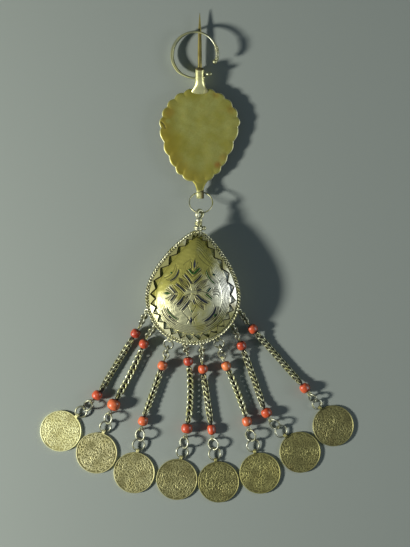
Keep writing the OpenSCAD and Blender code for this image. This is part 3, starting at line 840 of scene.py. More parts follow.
# %% Twisted edge wires
def twisted(inset, z, strand, reach, turns, hand):
    count = turns * 12
    t, _ = by_length(count, inset)
    middle = inset_outline(t, inset)
    outward = unit(middle - inset_outline(t, inset + 0.1))
    shapes, shades = [], []
    for half in (0, math.pi):
        w = hand * turns * angles(count) + half
        path = at_height(middle + outward * (reach * np.cos(w))[:, None], z + reach * np.sin(w))
        shape = wire(path, strand, closed=True)
        # Points near the middle of a rope, between its strands, are painted dark as shade.
        off = np.linalg.norm(shape[0].reshape(count, 8, 3) - at_height(middle, z)[:, None], axis=2)
        shapes.append(shape)
        shades.append(1 - smooth_step(0.5 * reach, reach + 0.7 * strand, off.ravel()))
    return joined(shapes), np.concatenate(shades)


outer_rope, outer_shade = twisted(0.42, 9.5, 0.32, 0.3, 48, 1)
inner_rope, inner_shade = twisted(1.22, 9.55, 0.22, 0.19, 56, -1)
print("rope faces:", len(outer_rope[1]), len(inner_rope[1]))

# %% [markdown]
# ## The folded strip
#
# Between the edge wires and the dome stands a strip that is cut into teeth. Each tooth leans in over the
# dome's edge and holds it. The teeth catch the light as small facets, so this is the one part that is
# shaded flat. A closed section is carried round, and a triangle wave moves its inner edge in and out.
# A narrow flange follows the same zigzag, and it and the inner wall of each tooth are painted dark as the shade along
# the teeth.

# %% Folded teeth
TEETH = 28
TOOTH_STEPS = 8
# Columns: inset, share of the tooth's reach, height, what the tooth's tip adds to it, marks, which paint the inner wall
# and the flange dark as shade
TOOTH_SECTION = np.array([(1.46, 0, 9.02, 0, 0.9), (1.46, 0, 10.2, 0, 0.3), (1.56, 0, 10.42, 0, 0.1),
                          (1.66, 1, 10.5, 0.75, 0), (1.74, 1, 10.38, 0.72, 0.2), (1.74, 1, 10.12, 0.3, 1),
                          (2.2, 1, 10.06, 0.38, 1), (2.2, 1, 9.02, 0, 1)])
TOOTH_REACH = 1.95


def folded_teeth():
    k = np.arange(TEETH * TOOTH_STEPS)
    wave = 1 - np.abs((k / TOOTH_STEPS) % 1 - 0.5) * 2
    reach = TOOTH_REACH * wave * (1 + 0.12 * np.sin(k // TOOTH_STEPS * 2.4))
    return skin([at_height(inset_outline(angles(len(k)), inset + share * reach), z + rise * wave)
                 for inset, share, z, rise, _ in TOOTH_SECTION], along_closed=True)


teeth_shape = folded_teeth()
teeth_shade = np.repeat(TOOTH_SECTION[:, 4], TEETH * TOOTH_STEPS)
print("teeth:", TEETH, "faces:", len(teeth_shape[1]))

# %% [markdown]
# ## The bail
#
# At the top a short stem carries two collars of wound wire, a few granules, and a loop that leans at 45
# degrees. The collars are windings, not plain rings, so each is a short helix.

# %% Bail, collars and granules
BAIL_AT = np.array([1.1, 18.2, 7.85])
STEM_Z = 8.5
COLLAR_PITCH, COLLAR_WIRE = 0.62, 0.46
# Columns: radius, x, y over the top of the outline, z
BAIL_GRANULES = [(0.92, 2.45, 1.3, 8.65), (0.45, 1.5, 1.2, 8.5), (0.42, -0.5, 0.1, 9.4), (0.38, 0.6, -0.2, 9.45)]


def collar(y, radius, turns=2):
    share = np.linspace(0, 1, turns * 20)
    w = 2 * np.pi * turns * share
    path = np.stack([radius * np.cos(w), y + (share - 0.5) * turns * COLLAR_PITCH, STEM_Z + radius * np.sin(w)], axis=1)
    return wire(path, COLLAR_WIRE, 10)


def bail_shape():
    loop_at = turned(BAIL_AT - [*PENDANT_AT, 0], "z", -PENDANT_TURN)
    stem = wire([[0, y, STEM_Z] for y in np.linspace(PENDANT_UP - 1.5, loop_at[1] - 1.7, 12)], 0.85, 16)
    loop = stood(stood(wire_ring(1.6, 0.72, 40, 12), "x", 45), "z", 90, loop_at)
    foot = ball(1.3, [loop_at[0] * 0.7, loop_at[1] - 2.55, STEM_Z + 0.1], 20, (1.05, 1.15, 0.8))
    return joined([stem, collar(PENDANT_UP + 1.2, 1.45), collar(PENDANT_UP + 3.2, 1.15), loop, foot,
                   *(ball(radius, [x, PENDANT_UP + y, z]) for radius, x, y, z in BAIL_GRANULES)])


print("bail faces:", len(bail_shape()[1]))

# %% [markdown]
# ## Where the drops lie
#
# The drops aren't mirror images, so a short table gives the place of each bead and coin. Directions,
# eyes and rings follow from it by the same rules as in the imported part.

# %% The eight drops
# Columns: angle of the rim loop; upper bead x, y; lower bead x, y, diameter, length; bow and roll of the
# chain; coin x, y; tone of the upper and of the lower bead, from dark red to orange
DROPS = [
    (197, -25.8, -31.6, -41.9, -57.5, 4.2, 4.2, 0.0, -45, -57.2, -72.6, 0.12, 0.35),
    (218, -22.3, -36.0, -34.9, -61.5, 5.4, 5.0, 1.0, 0, -42.2, -81.8, 0.30, 0.72),
    (241, -14.5, -45.0, -22.6, -68.3, 4.2, 4.2, 0.0, 90, -26.4, -90.1, 0.75, 0.70),
    (260, -3.7, -43.3, -4.3, -71.4, 4.8, 4.4, 2.0, 0, -8.5, -92.9, 0.15, 0.28),
    (281, 2.4, -46.5, 6.0, -71.9, 3.4, 4.6, 0.0, 45, 9.0, -94.0, 0.62, 0.50),
    (301, 12.2, -45.2, 20.9, -68.5, 4.2, 4.2, 1.0, 90, 26.4, -90.3, 0.95, 0.72),
    (324, 18.6, -36.7, 29.1, -64.8, 4.4, 4.2, 0.0, 45, 43.2, -81.5, 0.25, 0.50),
    (343, 23.3, -29.7, 45.1, -54.5, 4.2, 4.2, 0.0, 45, 57.1, -70.4, 0.50, 0.58)]
UPPER_BEAD, UPPER_Z = 4.0, 2.9
BEAD_GAP, EYE_RADIUS, EYE_WIRE = 0.12, 0.95, 0.22
EYE_REACH = BEAD_GAP + EYE_RADIUS + EYE_WIRE
KNEE_Z = 1.3
RIM_LOOP_OUT, RIM_LOOP_Z = 0.5, 7.5
COIN_LOOP_OUT, COIN_LOOP_UP = 9.35, np.array([0, 0, 1.02])


def side_of(way):
    return unit([-way[1], way[0], 0])


def roll_to(way, other):
    return math.degrees(math.atan2(np.dot(other, np.cross(way, side_of(way))), np.dot(other, side_of(way))))


class Drop:
    """Places and directions along one drop, in millimetres."""

    def __init__(self, row):
        (angle, ux, uy, lx, ly, self.wide, self.long, bow, self.roll, cx, cy, self.upper_tone,
         self.lower_tone) = row
        self.upper = np.array([ux, uy, UPPER_Z])
        self.lower = np.array([lx, ly, self.wide / 2 + 0.2])
        middle = (self.upper + self.lower) / 2 + side_of(self.lower - self.upper) * bow
        self.knee = np.array([*middle[:2], KNEE_Z])
        self.coin = np.array([cx, cy, 0.0])
        self.upper_way = unit(self.knee - self.upper)
        self.lower_way = unit(unit(self.lower - self.knee) + unit(self.coin + COIN_LOOP_UP - self.lower))
        self.upper_eye = self.upper - self.upper_way * (UPPER_BEAD / 2 + EYE_REACH)
        self.coin_eye = self.lower + self.lower_way * (self.long / 2 + EYE_REACH)
        self.rim_loop = polar(PENDANT_HALF + RIM_LOOP_OUT, math.radians(angle), RIM_LOOP_Z) + [*PENDANT_AT, 0]
        self.coin_way = unit([*(self.coin - self.coin_eye)[:2], 0])
        self.coin_loop = self.coin - self.coin_way * COIN_LOOP_OUT + COIN_LOOP_UP
        self.ring_way = unit(self.upper_eye - self.rim_loop)
        self.ring_roll = roll_to(self.ring_way, np.cross(self.upper_way, self.ring_way))


drops = [Drop(row) for row in DROPS]
print("drops:", len(drops), "longest from bead to bead:", round(max(math.dist(d.upper, d.lower) for d in drops), 1))

# %% [markdown]
# The pendant's silver is put together now that the eight wire loops under its rim have their places.
# The sheltered ledge under the teeth and the inside of the shell are painted dark as shade, so those rows carry marks.

# %% Put the pendant's silver together
*back, back_shade = back_shell()
pendant_shape = joined([at_pendant(back), at_pendant(bail_shape()),
                        *(along(wire_ring(0.9, 0.26, 32, 8), d.rim_loop, d.ring_way, d.ring_roll + 180)
                          for d in drops)])
pendant_back = as_piece("pendant_back", pendant_shape, marks=filled(back_shade, pendant_shape, 0.1),
                        material=pendant_silver)
edge_wires = as_piece("twisted_edge_wires", at_pendant(joined([outer_rope, inner_rope])),
                      marks=np.concatenate([outer_shade, inner_shade]), material=edge_silver)
folded_strip = as_piece("folded_strip", at_pendant(teeth_shape), smooth=False, marks=teeth_shade,
                        material=tooth_silver)
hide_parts("pendant_box")
print("pendant silver faces:", sum(len(p.data.polygons) for p in (pendant_back, edge_wires, folded_strip)))

# %% [markdown]
# ## The enamelled dome
#
# The dome is one raised plate with engraved lines and cells of dark blue and green enamel round a
# rosette. An image could carry the drawing, but lines that are cut into the mesh catch the light from
# every side. So a table of strokes gives the engraving, and each point of a fine mesh sinks by its
# distance to the nearest one.

# %% Strokes on the dome
ROSETTE = np.array([-0.4, 2.3])
# Cells of enamel round the rosette. Columns: from x, y; to x, y; width; bend; colour; how it tapers
CELLS = [
    (0.0, 13.8, 0.05, 9.7, 0.95, 0.0, "blue", "drop"), (-2.3, 9.3, -0.35, 7.3, 0.9, 0.0, "green", "bar"),
    (2.5, 10.2, -0.2, 7.1, 0.95, 0.0, "green", "bar"), (-4.1, 7.0, -0.6, 3.0, 0.7, 0.25, "blue", "bar"),
    (3.4, 7.5, -0.1, 3.3, 0.7, 0.2, "blue", "bar"), (-12.0, -1.4, -8.9, -1.4, 1.3, 0.0, "green", "lozenge"),
    (-9.8, 1.4, -6.9, -1.2, 0.65, 0.0, "blue", "bar"), (-9.0, -4.6, -6.8, -1.5, 0.65, 0.0, "blue", "bar"),
    (-7.3, 2.8, -3.0, -0.4, 0.75, 0.2, "blue", "bar"), (-6.3, -6.0, -3.4, -1.8, 0.75, -0.3, "blue", "bar"),
    (7.6, 2.3, 6.1, 0.3, 0.75, 0.0, "teal", "bar"), (5.5, -0.3, 8.6, -2.5, 0.7, 0.0, "green", "bar"),
    (1.7, 0.3, 3.7, 1.3, 0.65, 0.0, "blue", "bar"), (1.7, -0.9, 6.9, -4.4, 0.95, -0.3, "blue", "bar"),
    (-0.8, -3.3, -4.1, -8.2, 0.75, 0.2, "blue", "bar"), (0.3, -3.2, 1.5, -5.2, 0.6, 0.0, "blue", "bar"),
    (0.2, -8.6, 0.25, -7.4, 0.7, 0.0, "green", "lozenge"), (0.4, -13.8, 0.3, -10.5, 1.05, 0.0, "blue", "drop"),
    (-6.4, 9.0, -9.9, 3.7, 0.6, 1.0, "blue", "bar"), (-9.8, 7.2, -8.9, 7.2, 0.95, 0.0, "green", "lozenge"),
    (5.0, 9.6, 9.5, 3.9, 0.65, -0.8, "green", "bar"), (7.6, 7.9, 9.1, 7.6, 1.15, 0.0, "teal", "lozenge"),
    (-10.3, -7.5, -4.9, -12.0, 0.55, -0.7, "green", "bar"), (-9.1, -10.6, -8.2, -11.6, 0.8, 0.0, "blue", "lozenge"),
    (10.3, -5.0, 5.6, -12.0, 1.0, 1.1, "blue", "bar"), (10.4, -8.4, 9.7, -9.5, 0.75, 0.0, "green", "bar")]
print("cells of enamel:", len(CELLS))

# %% [markdown]
# The engraving fills what is left: leaves between the bars, filled with hatching, chevrons beside the
# bars, and lines that follow the edge. A line is about 0.3 mm wide and is deepest in its middle.

# %% Engraved lines
def bent(x0, y0, x1, y1, bend, count=9):
    """Points along a line that bows to its left by bend."""
    s = np.linspace(0, 1, count)
    a, b = np.array([x0, y0]), np.array([x1, y1])
    left = unit(np.array([-(b - a)[1], (b - a)[0]]))
    return a + (b - a) * s[:, None] + left * (4 * bend * s * (1 - s))[:, None]


# Leaves along the diagonals. Columns: tip x, y; half width
LEAVES = [(-5.9, 5.4, 1.15), (5.8, 5.6, 1.1), (-5.6, -6.6, 1.1), (5.4, -7.0, 1.15)]
# Further lines. Columns: from x, y; to x, y; bend
EXTRA = [(1.6, 17.2, 7.4, 12.3, -0.5), (1.2, 15.4, 6.6, 11.0, -0.5), (-4.4, 10.9, -1.3, 13.6, 0.2),
         (-3.0, 8.6, -0.3, 6.1, 0.0), (3.0, 9.2, -0.1, 6.2, 0.0), (-8.6, 2.2, -5.9, -0.9, 0.0),
         (-8.0, -5.4, -5.9, -1.6, 0.0), (-10.9, 0.2, -8.2, -1.6, 0.2), (-10.7, -3.6, -8.2, -1.8, -0.2),
         (-1.6, -5.4, 0.2, -9.3, 0.0), (2.1, -5.6, 0.4, -9.3, 0.0), (-3.2, -8.9, 0.1, -12.7, 0.3),
         (3.4, -8.8, 0.6, -12.7, -0.3), (4.0, 0.6, 6.6, -0.2, 0.0), (4.4, 1.9, 7.0, 3.4, 0.2),
         (8.2, 0.9, 10.6, 1.5, 0.6), (8.3, 0.3, 11.2, 0.3, 0.7), (8.6, -0.5, 11.0, -1.2, 0.6),
         (8.9, 2.0, 10.2, 2.7, 0.4), (-7.0, 10.2, -11.1, 4.3, 1.2), (-7.6, 11.0, -12.0, 5.0, 1.2),
         (5.9, 10.6, 10.6, 4.5, -1.0), (6.7, 11.3, 11.5, 5.2, -1.0), (-11.2, -8.0, -5.3, -13.1, -0.9),
         (-11.9, -8.9, -5.9, -14.0, -0.9), (11.4, -5.6, 6.3, -13.0, 1.2), (12.2, -6.3, 7.0, -13.8, 1.2),
         (-1.5, 12.6, -1.1, 9.4, 0.3), (1.5, 12.6, 1.2, 9.4, -0.3), (-1.3, -13.2, -0.9, -10.2, -0.3),
         (2.1, -13.2, 1.6, -10.2, 0.3)]


def engraving():
    lines = [bent(*row) for row in EXTRA]
    for tip_x, tip_y, half in LEAVES:
        tip = np.array([tip_x, tip_y])
        for side in (-1, 1):
            lines.append(bent(*(tip * 0.12), *tip, side * half))
        for side in (-0.45, 0.05, 0.5):
            lines.append(bent(*(tip * 0.26), *(tip * 0.9), side * half))
    for x0, y0, x1, y1, width, bend, _, kind in CELLS:
        if kind == "bar":
            way = unit(np.array([x1 - x0, y1 - y0]))
            left = np.array([-way[1], way[0]]) * (width / 2 + 0.32)
            for side in (-1, 1):
                lines.append(bent(x0, y0, x1, y1, bend) + left * side)
    return [line + ROSETTE for line in lines]


lines = engraving()
print("engraved lines:", len(lines))

# %% [markdown]
# The mesh of the dome has one row of points for each fifth of a millimetre. Its height is a soft
# half-ellipse, with a skirt that runs out under the teeth.

# %% Height and skin of the dome
DOME_INSET, DOME_RISE, DOME_Z = 4.2, 4.4, 10.25
DOME_MIDDLE = np.array([0.0, 1.2])
DOME_WAYS, DOME_STEPS = 420, 110


def dome_height(share):
    inside = np.clip(share, 0, 1)
    return DOME_Z + DOME_RISE * (1 - inside ** 2.05) ** 0.62


dome_t = angles(DOME_WAYS)
dome_edge = inset_outline(dome_t, DOME_INSET)
shares = np.sin(np.linspace(0.004, 1, DOME_STEPS) * np.pi / 2) ** 1.05
flat = np.concatenate([DOME_MIDDLE + s * (dome_edge - DOME_MIDDLE) for s in shares])
share_of = np.repeat(shares, DOME_WAYS)
cuts = np.full(len(flat), 9.0)
for line in lines:
    near = np.all((flat > line.min(axis=0) - 0.6) & (flat < line.max(axis=0) + 0.6), axis=1)
    cuts[near] = np.minimum(cuts[near], distance_to(flat[near], line))
print("dome points:", len(flat), "in a line:", int((cuts < 0.12).sum()))

# %% [markdown]
# Contour lines run along the lower and the right edge, where the real dome shows five of them, and
# fine hatching fills the ground. Both are worked out for all points at once, so they need no table.

# %% Contours and ground
HATCH_PITCH = 0.62
# Columns: inset, height, marks
SKIRT = [(3.8, 10.18, 0.1), (3.0, 10.08, 0.12), (1.9, 9.95, 0.2), (1.9, 9.05, 0.9)]
contour = np.min([np.abs(share_of - s) * 15.5 for s in (0.8, 0.84, 0.88, 0.92, 0.96)], axis=0)
way_round = np.tile(dome_t, DOME_STEPS)
lower_or_right = smooth_step(-0.45, 0.1, np.maximum(np.cos(way_round) - 0.1, -np.sin(way_round) - 0.45))
groove = np.exp(-(cuts / 0.17) ** 2) + 0.9 * lower_or_right * np.exp(-(contour / 0.16) ** 2)
from_rosette = flat - ROSETTE
ground = (smooth_step(0.25, 0.6, cuts) * (1 - smooth_step(0.72, 0.84, share_of))
          * smooth_step(1.5, 3, np.linalg.norm(from_rosette, axis=1)))
slant = flat[:, 0] * np.sign(from_rosette[:, 1]) * np.sign(from_rosette[:, 0]) + flat[:, 1]
hatch = np.sin(slant * 2 * np.pi / HATCH_PITCH)
engraved = np.clip(groove, 0, 1) + 0.38 * ground * smooth_step(0.0, 0.9, hatch)
upper = smooth_step(0.1, 0.6, np.sin(way_round)) * smooth_step(0.55, 0.75, share_of)
dark_tone = engraved * (1 - 0.15 * lower_or_right * (share_of > 0.78) - 0.45 * upper)
dome_points = at_height(flat, dome_height(share_of))
dome_points[:, 2] += (0.05 * unevenness(dome_points, 6, 41) + 0.02 * unevenness(dome_points, 1.2, 42)
                      - 0.17 * np.clip(engraved, 0, 1))
dome_rows = np.concatenate([dome_points.reshape(DOME_STEPS, DOME_WAYS, 3),
                            [at_height(inset_outline(dome_t, inset), z) for inset, z, _ in SKIRT]])
dome_dents = np.concatenate([np.clip(dark_tone, 0, 1), np.repeat([dent for _, _, dent in SKIRT], DOME_WAYS)])
print("dome from", round(float(dome_rows[..., 2].min()), 2), "to", round(float(dome_rows[..., 2].max()), 2), "mm")

# %% [markdown]
# Enamel is glass that was melted into cut cells. Seen close it lies almost level with the metal and is
# slightly domed. Each cell is a small skin that follows the dome, with its own glassy material.

# %% Cells of enamel
def on_dome(points, lift):
    """Flat points raised to the dome, plus a lift."""
    local, rim = points - DOME_MIDDLE, dome_edge - DOME_MIDDLE
    reach = np.interp(np.arctan2(local[:, 1], local[:, 0]), np.arctan2(rim[:, 1], rim[:, 0]),
                      np.linalg.norm(rim, axis=1), period=2 * np.pi)
    p = at_height(points, dome_height(np.linalg.norm(local, axis=1) / reach))
    p[:, 2] += 0.05 * unevenness(p, 6, 41) + lift
    return p


WIDTHS = {"bar": lambda s: np.clip(1.05 - np.abs(2 * s - 1) ** 5, 0.12, 1),
          "lozenge": lambda s: np.clip(1.02 - np.abs(2 * s - 1) ** 1.3, 0.06, 1),
          "drop": lambda s: np.clip(np.sin(np.pi * (0.06 + 0.9 * s) ** 1.5), 0.08, 1)}
# Columns: share of the half width, lift
CELL_SECTION = [(-1, -0.12), (-0.97, 0.02), (-0.6, 0.07), (0, 0.1), (0.6, 0.07), (0.97, 0.02), (1, -0.12)]


def cell(x0, y0, x1, y1, width, bend, kind, count=15):
    line = bent(x0, y0, x1, y1, bend, count) + ROSETTE
    way = tangents(line, False)
    left = np.stack([-way[:, 1], way[:, 0]], axis=1)
    half = 0.5 * width * WIDTHS[kind](np.linspace(0, 1, count))
    return skin([on_dome(line + left * (half * across)[:, None], lift) for across, lift in CELL_SECTION],
                round_closed=False)


cells_by_colour = {colour: joined([cell(*row[:6], row[7]) for row in CELLS if row[6] == colour])
                   for colour in ("blue", "green", "teal")}
print({colour: len(shape[1]) for colour, shape in cells_by_colour.items()})

# %% The dome and its glass
glass_tones = {"blue": (0.015, 0.018, 0.027), "green": (0.014, 0.062, 0.008), "teal": (0.01, 0.045, 0.036)}


def enamel(name, tone):
    recipe = Recipe(name)
    cloud = recipe.noise(0.8, 3.0)
    pale_spot = recipe.step(recipe.noise(0.5, 4.0, 0.4), 0.6, 0.75)
    colour = recipe.layered(tone, (cloud, tuple(1.6 * c for c in tone)), (pale_spot * 0.3, (0.2, 0.2, 0.12)))
    return recipe.finish(Base_Color=colour, Roughness=0.3 + 0.25 * pale_spot, Metallic=0.0, Coat_Weight=0.2)


enamelled_dome = as_piece("enamelled_dome", at_pendant(skin(dome_rows, caps=True)), marks=dome_dents,
                          material=dome_silver)
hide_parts("enamel_dome")
for colour, shape in cells_by_colour.items():
    glass = as_piece("enamel_cells_" + colour, at_pendant(shape),
                     material=enamel("enamel " + colour, glass_tones[colour]))
print("dome faces:", len(enamelled_dome.data.polygons))

# %% [markdown]
# ## Loop-in-loop chains
#
# This is an old way of making chain. Each link is an oval that is pinched at its waist and bent double,
# and the next one goes through both of its ends. The imported links are straight between twelve points.
# Here a smooth curve and a thicker wire, a little longer from link to link, show the coarse look of the
# real ones, and a dark core stands in for the strands inside. The inner side of each link and a dark
# core along the chain are painted dark as shade.

# %% Links
LINK_QUARTER = [(0.28, 1.04, 0.0), (1.08, 0.8, 1.45), (0.65, 0.28, 2.9)]
LINK_WIRE, LINK_PITCH, LINK_RISE = 0.37, 2.15, 2.9
LINK_BASE, LINK_FLAT = 1.26, 0.8
CHAIN_GAP, CHAIN_SAG, CHAIN_SOFT, SHADE_CORE_RADIUS = 0.35, 3.2, 0.2, 0.5
# How wide a link is, how much less when aslant, and the share of that at the ends of a chain
LINK_ACROSS, ASLANT_LESS, END_SHARE = 0.98, 0.22, 0.8
quarter = np.array(LINK_QUARTER)
LINK = np.concatenate([quarter, quarter[::-1] * [-1, 1, 1], quarter * [-1, -1, 1], quarter[::-1] * [1, -1, 1]])


def smooth_loop(points, steps=3):
    """A closed curve through all the points."""
    p0, p1, p2, p3 = (np.roll(points, k, axis=0) for k in (1, 0, -1, -2))
    out = []
    for s in np.arange(steps) / steps:
        out.append(0.5 * (2 * p1 + (p2 - p0) * s + (2 * p0 - 5 * p1 + 4 * p2 - p3) * s ** 2
                          + (3 * p1 - p0 - 3 * p2 + p3) * s ** 3))
    return np.stack(out, axis=1).reshape(-1, 3)


link_curve = smooth_loop(LINK)
print("points round a link:", len(link_curve))

# %% [markdown]
# The links stand along a soft curve that sags to the table between the two beads. The frame that
# turns a link keeps it at one roll, and this roll decides whether a chain shows as a herringbone, as
# two rows, or aslant.

# %% Chains
def chain(d):
    start = d.upper + d.upper_way * (UPPER_BEAD / 2 + CHAIN_GAP)
    end = d.lower - d.lower_way * (d.long / 2 + CHAIN_GAP)
    total = np.linalg.norm(end - start)
    count = round((total - LINK_RISE) / LINK_PITCH) + 1
    step = (1 - LINK_RISE / total) / (count - 1)

    def place(s):
        at = (1 - s) ** 2 * start + 2 * s * (1 - s) * (d.knee - [0, 0, CHAIN_SAG]) + s * s * end
        return np.append(at[:2], LINK_BASE + 0.5 * (at[2] - LINK_BASE + math.hypot(at[2] - LINK_BASE, CHAIN_SOFT)))

    roll = math.radians(d.roll)
    across = LINK_ACROSS - ASLANT_LESS * abs(math.sin(2 * roll))
    shapes, shades = [], []
    for i in range(count):
        at = place(i * step)
        way = unit(place((i + 1) * step) - at)
        side = side_of(way)
        up = LINK_FLAT * np.cross(way, side)
        x = math.cos(roll) * side + math.sin(roll) * up
        y = math.cos(roll) * up - math.sin(roll) * side
        narrow = across * (END_SHARE if i in (0, count - 1) else 1)
        shapes.append(wire(at + link_curve @ np.array([narrow * x, narrow * y, way]), LINK_WIRE, 8, closed=True))
        # The inner side of each link is painted dark as shade.
        off = np.linalg.norm(np.cross(shapes[-1][0] - at, way), axis=1)
        shades.append(1 - smooth_step(0.6, 1.15, off))
    # A dark core along the chain is painted shade inside it.
    shade_core = wire([place(s) for s in np.linspace(0, 1, 40)], SHADE_CORE_RADIUS, 10)
    shape = joined(shapes + [shade_core])
    return shape, filled(np.concatenate(shades), shape, 1.0)


for i, d in enumerate(drops, 1):
    shape, marked = chain(d)
    links = as_piece("links_%d" % i, shape, marks=marked, material=chain_silver)
    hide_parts("chain_%d" % i)
print("links have", LINK_WIRE * 2, "mm wire")

# %% [markdown]
# ## Coral
#
# The beads are barrels of red coral, each with its own tone, worn smooth and slightly out of round.
# Coral is opaque with faint growth bands, and its edges are painted lighter as a sheen. One material serves
# all, because each mesh carries its own tone as a number on its points.

# %% Coral beads
BEAD_HOLE, BEAD_DIMPLE, BEAD_END = 0.3, 0.25, 0.46


def barrel(wide, long, seed):
    end = -1 + 0.03 * np.array([0, 0.4, 1, 2.2])
    u = np.concatenate([end, np.linspace(-0.88, 0.88, 17), -end[::-1]])
    radius = np.maximum(wide / 2 * np.clip(1 - np.abs(u) ** 2.5, 0, 1) ** (1 / 2.3), BEAD_END)
    hole = long / 2 - BEAD_DIMPLE
    points, faces = spun([(BEAD_HOLE, -hole), *zip(radius, long / 2 * u), (BEAD_HOLE, hole)], 36)
    points[:, :2] *= 1 + 0.025 * unevenness(points, 2.2, seed)[:, None]
    return stood((points, faces), "y", 90)


def coral_finish():
    recipe = Recipe("red coral")
    tone = recipe.marks()
    bands = recipe.step(recipe.noise(0.9, 3.0), 0.5, 0.75)
    pits = recipe.step(recipe.noise(0.35, 3.0, 0.6), 0.62, 0.72)
    # The rim mix paints the edges that are seen aslant a lighter orange, as a sheen.
    rim = recipe.node("ShaderNodeLayerWeight", {}, {"Blend": 0.35}, output="Facing")
    colour = recipe.layered((0.38, 0.022, 0.012), (recipe.step(tone, 0.0, 0.5), (0.64, 0.08, 0.022)),
                            (recipe.step(tone, 0.5, 1.0), (0.83, 0.24, 0.075)), (bands * 0.4, (0.86, 0.34, 0.16)),
                            (pits * 0.5, (0.22, 0.03, 0.015)), (rim * 0.3, (0.85, 0.30, 0.12)),
                            (recipe.step(tone, -0.05, -0.8), (0.10, 0.02, 0.01)))
    return recipe.finish(Base_Color=colour, Roughness=0.4 + 0.2 * pits, Coat_Weight=0.16, Coat_Roughness=0.3,
                         Normal=recipe.bump(pits, 0.5))


coral = coral_finish()
for i, d in enumerate(drops, 1):
    for place, at, way, wide, long, tone in (
            ("upper", d.upper, d.upper_way, UPPER_BEAD, UPPER_BEAD, d.upper_tone),
            ("lower", d.lower, d.lower_way, d.wide, d.long, d.lower_tone)):
        shape = along(barrel(wide, long, 50 + i), at, way)
        to_end = np.abs((shape[0] - at) @ way) / (long / 2) + 0.06 * unevenness(shape[0], 1.2, 80 + i)
        bead = as_piece("%s_coral_%d" % (place, i), shape, marks=tone - 1.6 * smooth_step(0.74, 0.98, to_end),
                        material=coral)
        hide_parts("%s_bead_%d" % (place, i))
print("coral beads:", 2 * len(drops))

# %% [markdown]
# ## Small rings
#
# Thick little rings join the pendant to the upper beads and the lower beads to the coins. Two of the
# eight drops hang from one large flat ring with two small ones after it, and the others from a short
# row of small ones that lie crumpled. Each ring passes through the one before it.

# %% Small rings
SMALL_WIRE = 0.4
RIM_PLAY, EYE_PLAY, COIN_PLAY = 0.2, 0.25, 0.12
HOOKED = 2 * SMALL_WIRE + 0.1
LARGE_RINGS, LARGE_RADIUS = (3, 6), 2.0
LARGE_ROLLS, SMALL_ROLLS = [12, 100, 40], [70, -25, 55, -40, 65]
# The lower pair: size of the second to the first, its roll, how deep they hook, and how far the first may lean
PAIR_GROWS, PAIR_ROLL, PAIR_HOOKED, PAIR_LEAN = 1.05, -8, 0.66, 0.69


def small_ring(radius, at, way, roll):
    return along(wire_ring(radius, SMALL_WIRE, 36, 10), at, way, roll)


def upper_rings(d, large):
    way = d.upper_eye - d.rim_loop
    room = np.linalg.norm(way) - RIM_PLAY - EYE_PLAY
    if large:
        radii = [LARGE_RADIUS] + [(room - 2 * LARGE_RADIUS + 2 * HOOKED) / 4] * 2
    else:
        count = max(2, round(room / 1.6))
        radii = [(room + (count - 1) * HOOKED) / (2 * count)] * count
    made, reached = [], RIM_PLAY
    for radius, roll in zip(radii, LARGE_ROLLS if large else SMALL_ROLLS):
        made.append(small_ring(radius, d.rim_loop + unit(way) * (reached + radius), way, roll))
        reached += 2 * radius - HOOKED
    return made


def lower_rings(d):
    way = d.coin_loop - d.coin_eye
    radius = (np.linalg.norm(way) - EYE_PLAY - COIN_PLAY + PAIR_HOOKED) / (2 + 2 * PAIR_GROWS)
    first = d.coin_eye + unit(way) * (radius + EYE_PLAY)
    lean = math.degrees(math.asin(min(PAIR_LEAN, (first[2] - SMALL_WIRE - 0.04) / radius)))
    larger = PAIR_GROWS * radius
    second = d.coin_loop - unit(way) * (larger + COIN_PLAY)
    return [small_ring(radius, first, way, lean), small_ring(larger, second, way, PAIR_ROLL)]


for i, d in enumerate(drops, 1):
    rings = as_piece("small_rings_%d" % i, joined(upper_rings(d, i in LARGE_RINGS) + lower_rings(d)),
                     material=small_ring_silver)
    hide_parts("jump_rings_%d" % i)
print("small rings of drop 1:", len(upper_rings(drops[0], False)) + 2)

# %% [markdown]
# ## Coins
#
# The coins are thin and worn, with a narrow raised rim and dense low relief. What the real ones say
# and show isn't copied. Rows of small leaf-like strokes, scattered from a fixed seed, have the same
# density and depth. The height of each point is worked out from its distance to the nearest stroke.

# %% Relief of a coin
COIN_RADIUS, COIN_THICK, COIN_EDGE = 8.6, 1.0, 0.12
STROKES_OUT, RIM_FROM, RIM_TO = 7.85, 8.12, 8.34
ROW_REACH, ROW_PITCH, ROW_SHIFT = 7.8, 0.82, 0.3
STROKE_HIGH, RIM_HIGH = 0.18, 0.2
FIELD = COIN_THICK - RIM_HIGH


def strokes(seed):
    rng = np.random.default_rng(seed)
    made = []
    for row, y in enumerate(np.arange(-ROW_REACH, ROW_REACH + 0.1, ROW_PITCH)):
        x = -ROW_REACH + ROW_SHIFT * (row % 2)
        while x < 7.6:
            long = rng.uniform(0.4, 1.05)
            lean = rng.choice([0.35, 1.2, 1.75, 2.6]) + rng.normal(0, 0.25)
            middle = np.array([x + 0.3, y + rng.normal(0, 0.16)])
            half = long / 2 * np.array([math.cos(lean), math.sin(lean)])
            if np.linalg.norm(middle) < STROKES_OUT:
                made.append((middle - half, middle + half, rng.uniform(-0.3, 0.3), rng.uniform(0.11, 0.17)))
            x += rng.uniform(0.5, 0.85)
    return made


def relief(points, seed):
    """0 in the field to 1 on the strokes, for flat points of one face."""
    high = np.zeros(len(points))
    for a, b, bow, half in strokes(seed):
        near = np.linalg.norm(points - (a + b) / 2, axis=1) < 1.3
        line = bent(*a, *b, bow, 5)
        d = distance_to(points[near], line)
        high[near] = np.maximum(high[near], 1 - smooth_step(half * 0.5, half * 1.5, d))
    return high


print("strokes on a coin:", len(strokes(1)))

# %% [markdown]
# Points lie in rings from the middle out. Wear is a slow unevenness that lowers the relief in places,
# and the rim is proud of it all round, with a slightly rounded edge.

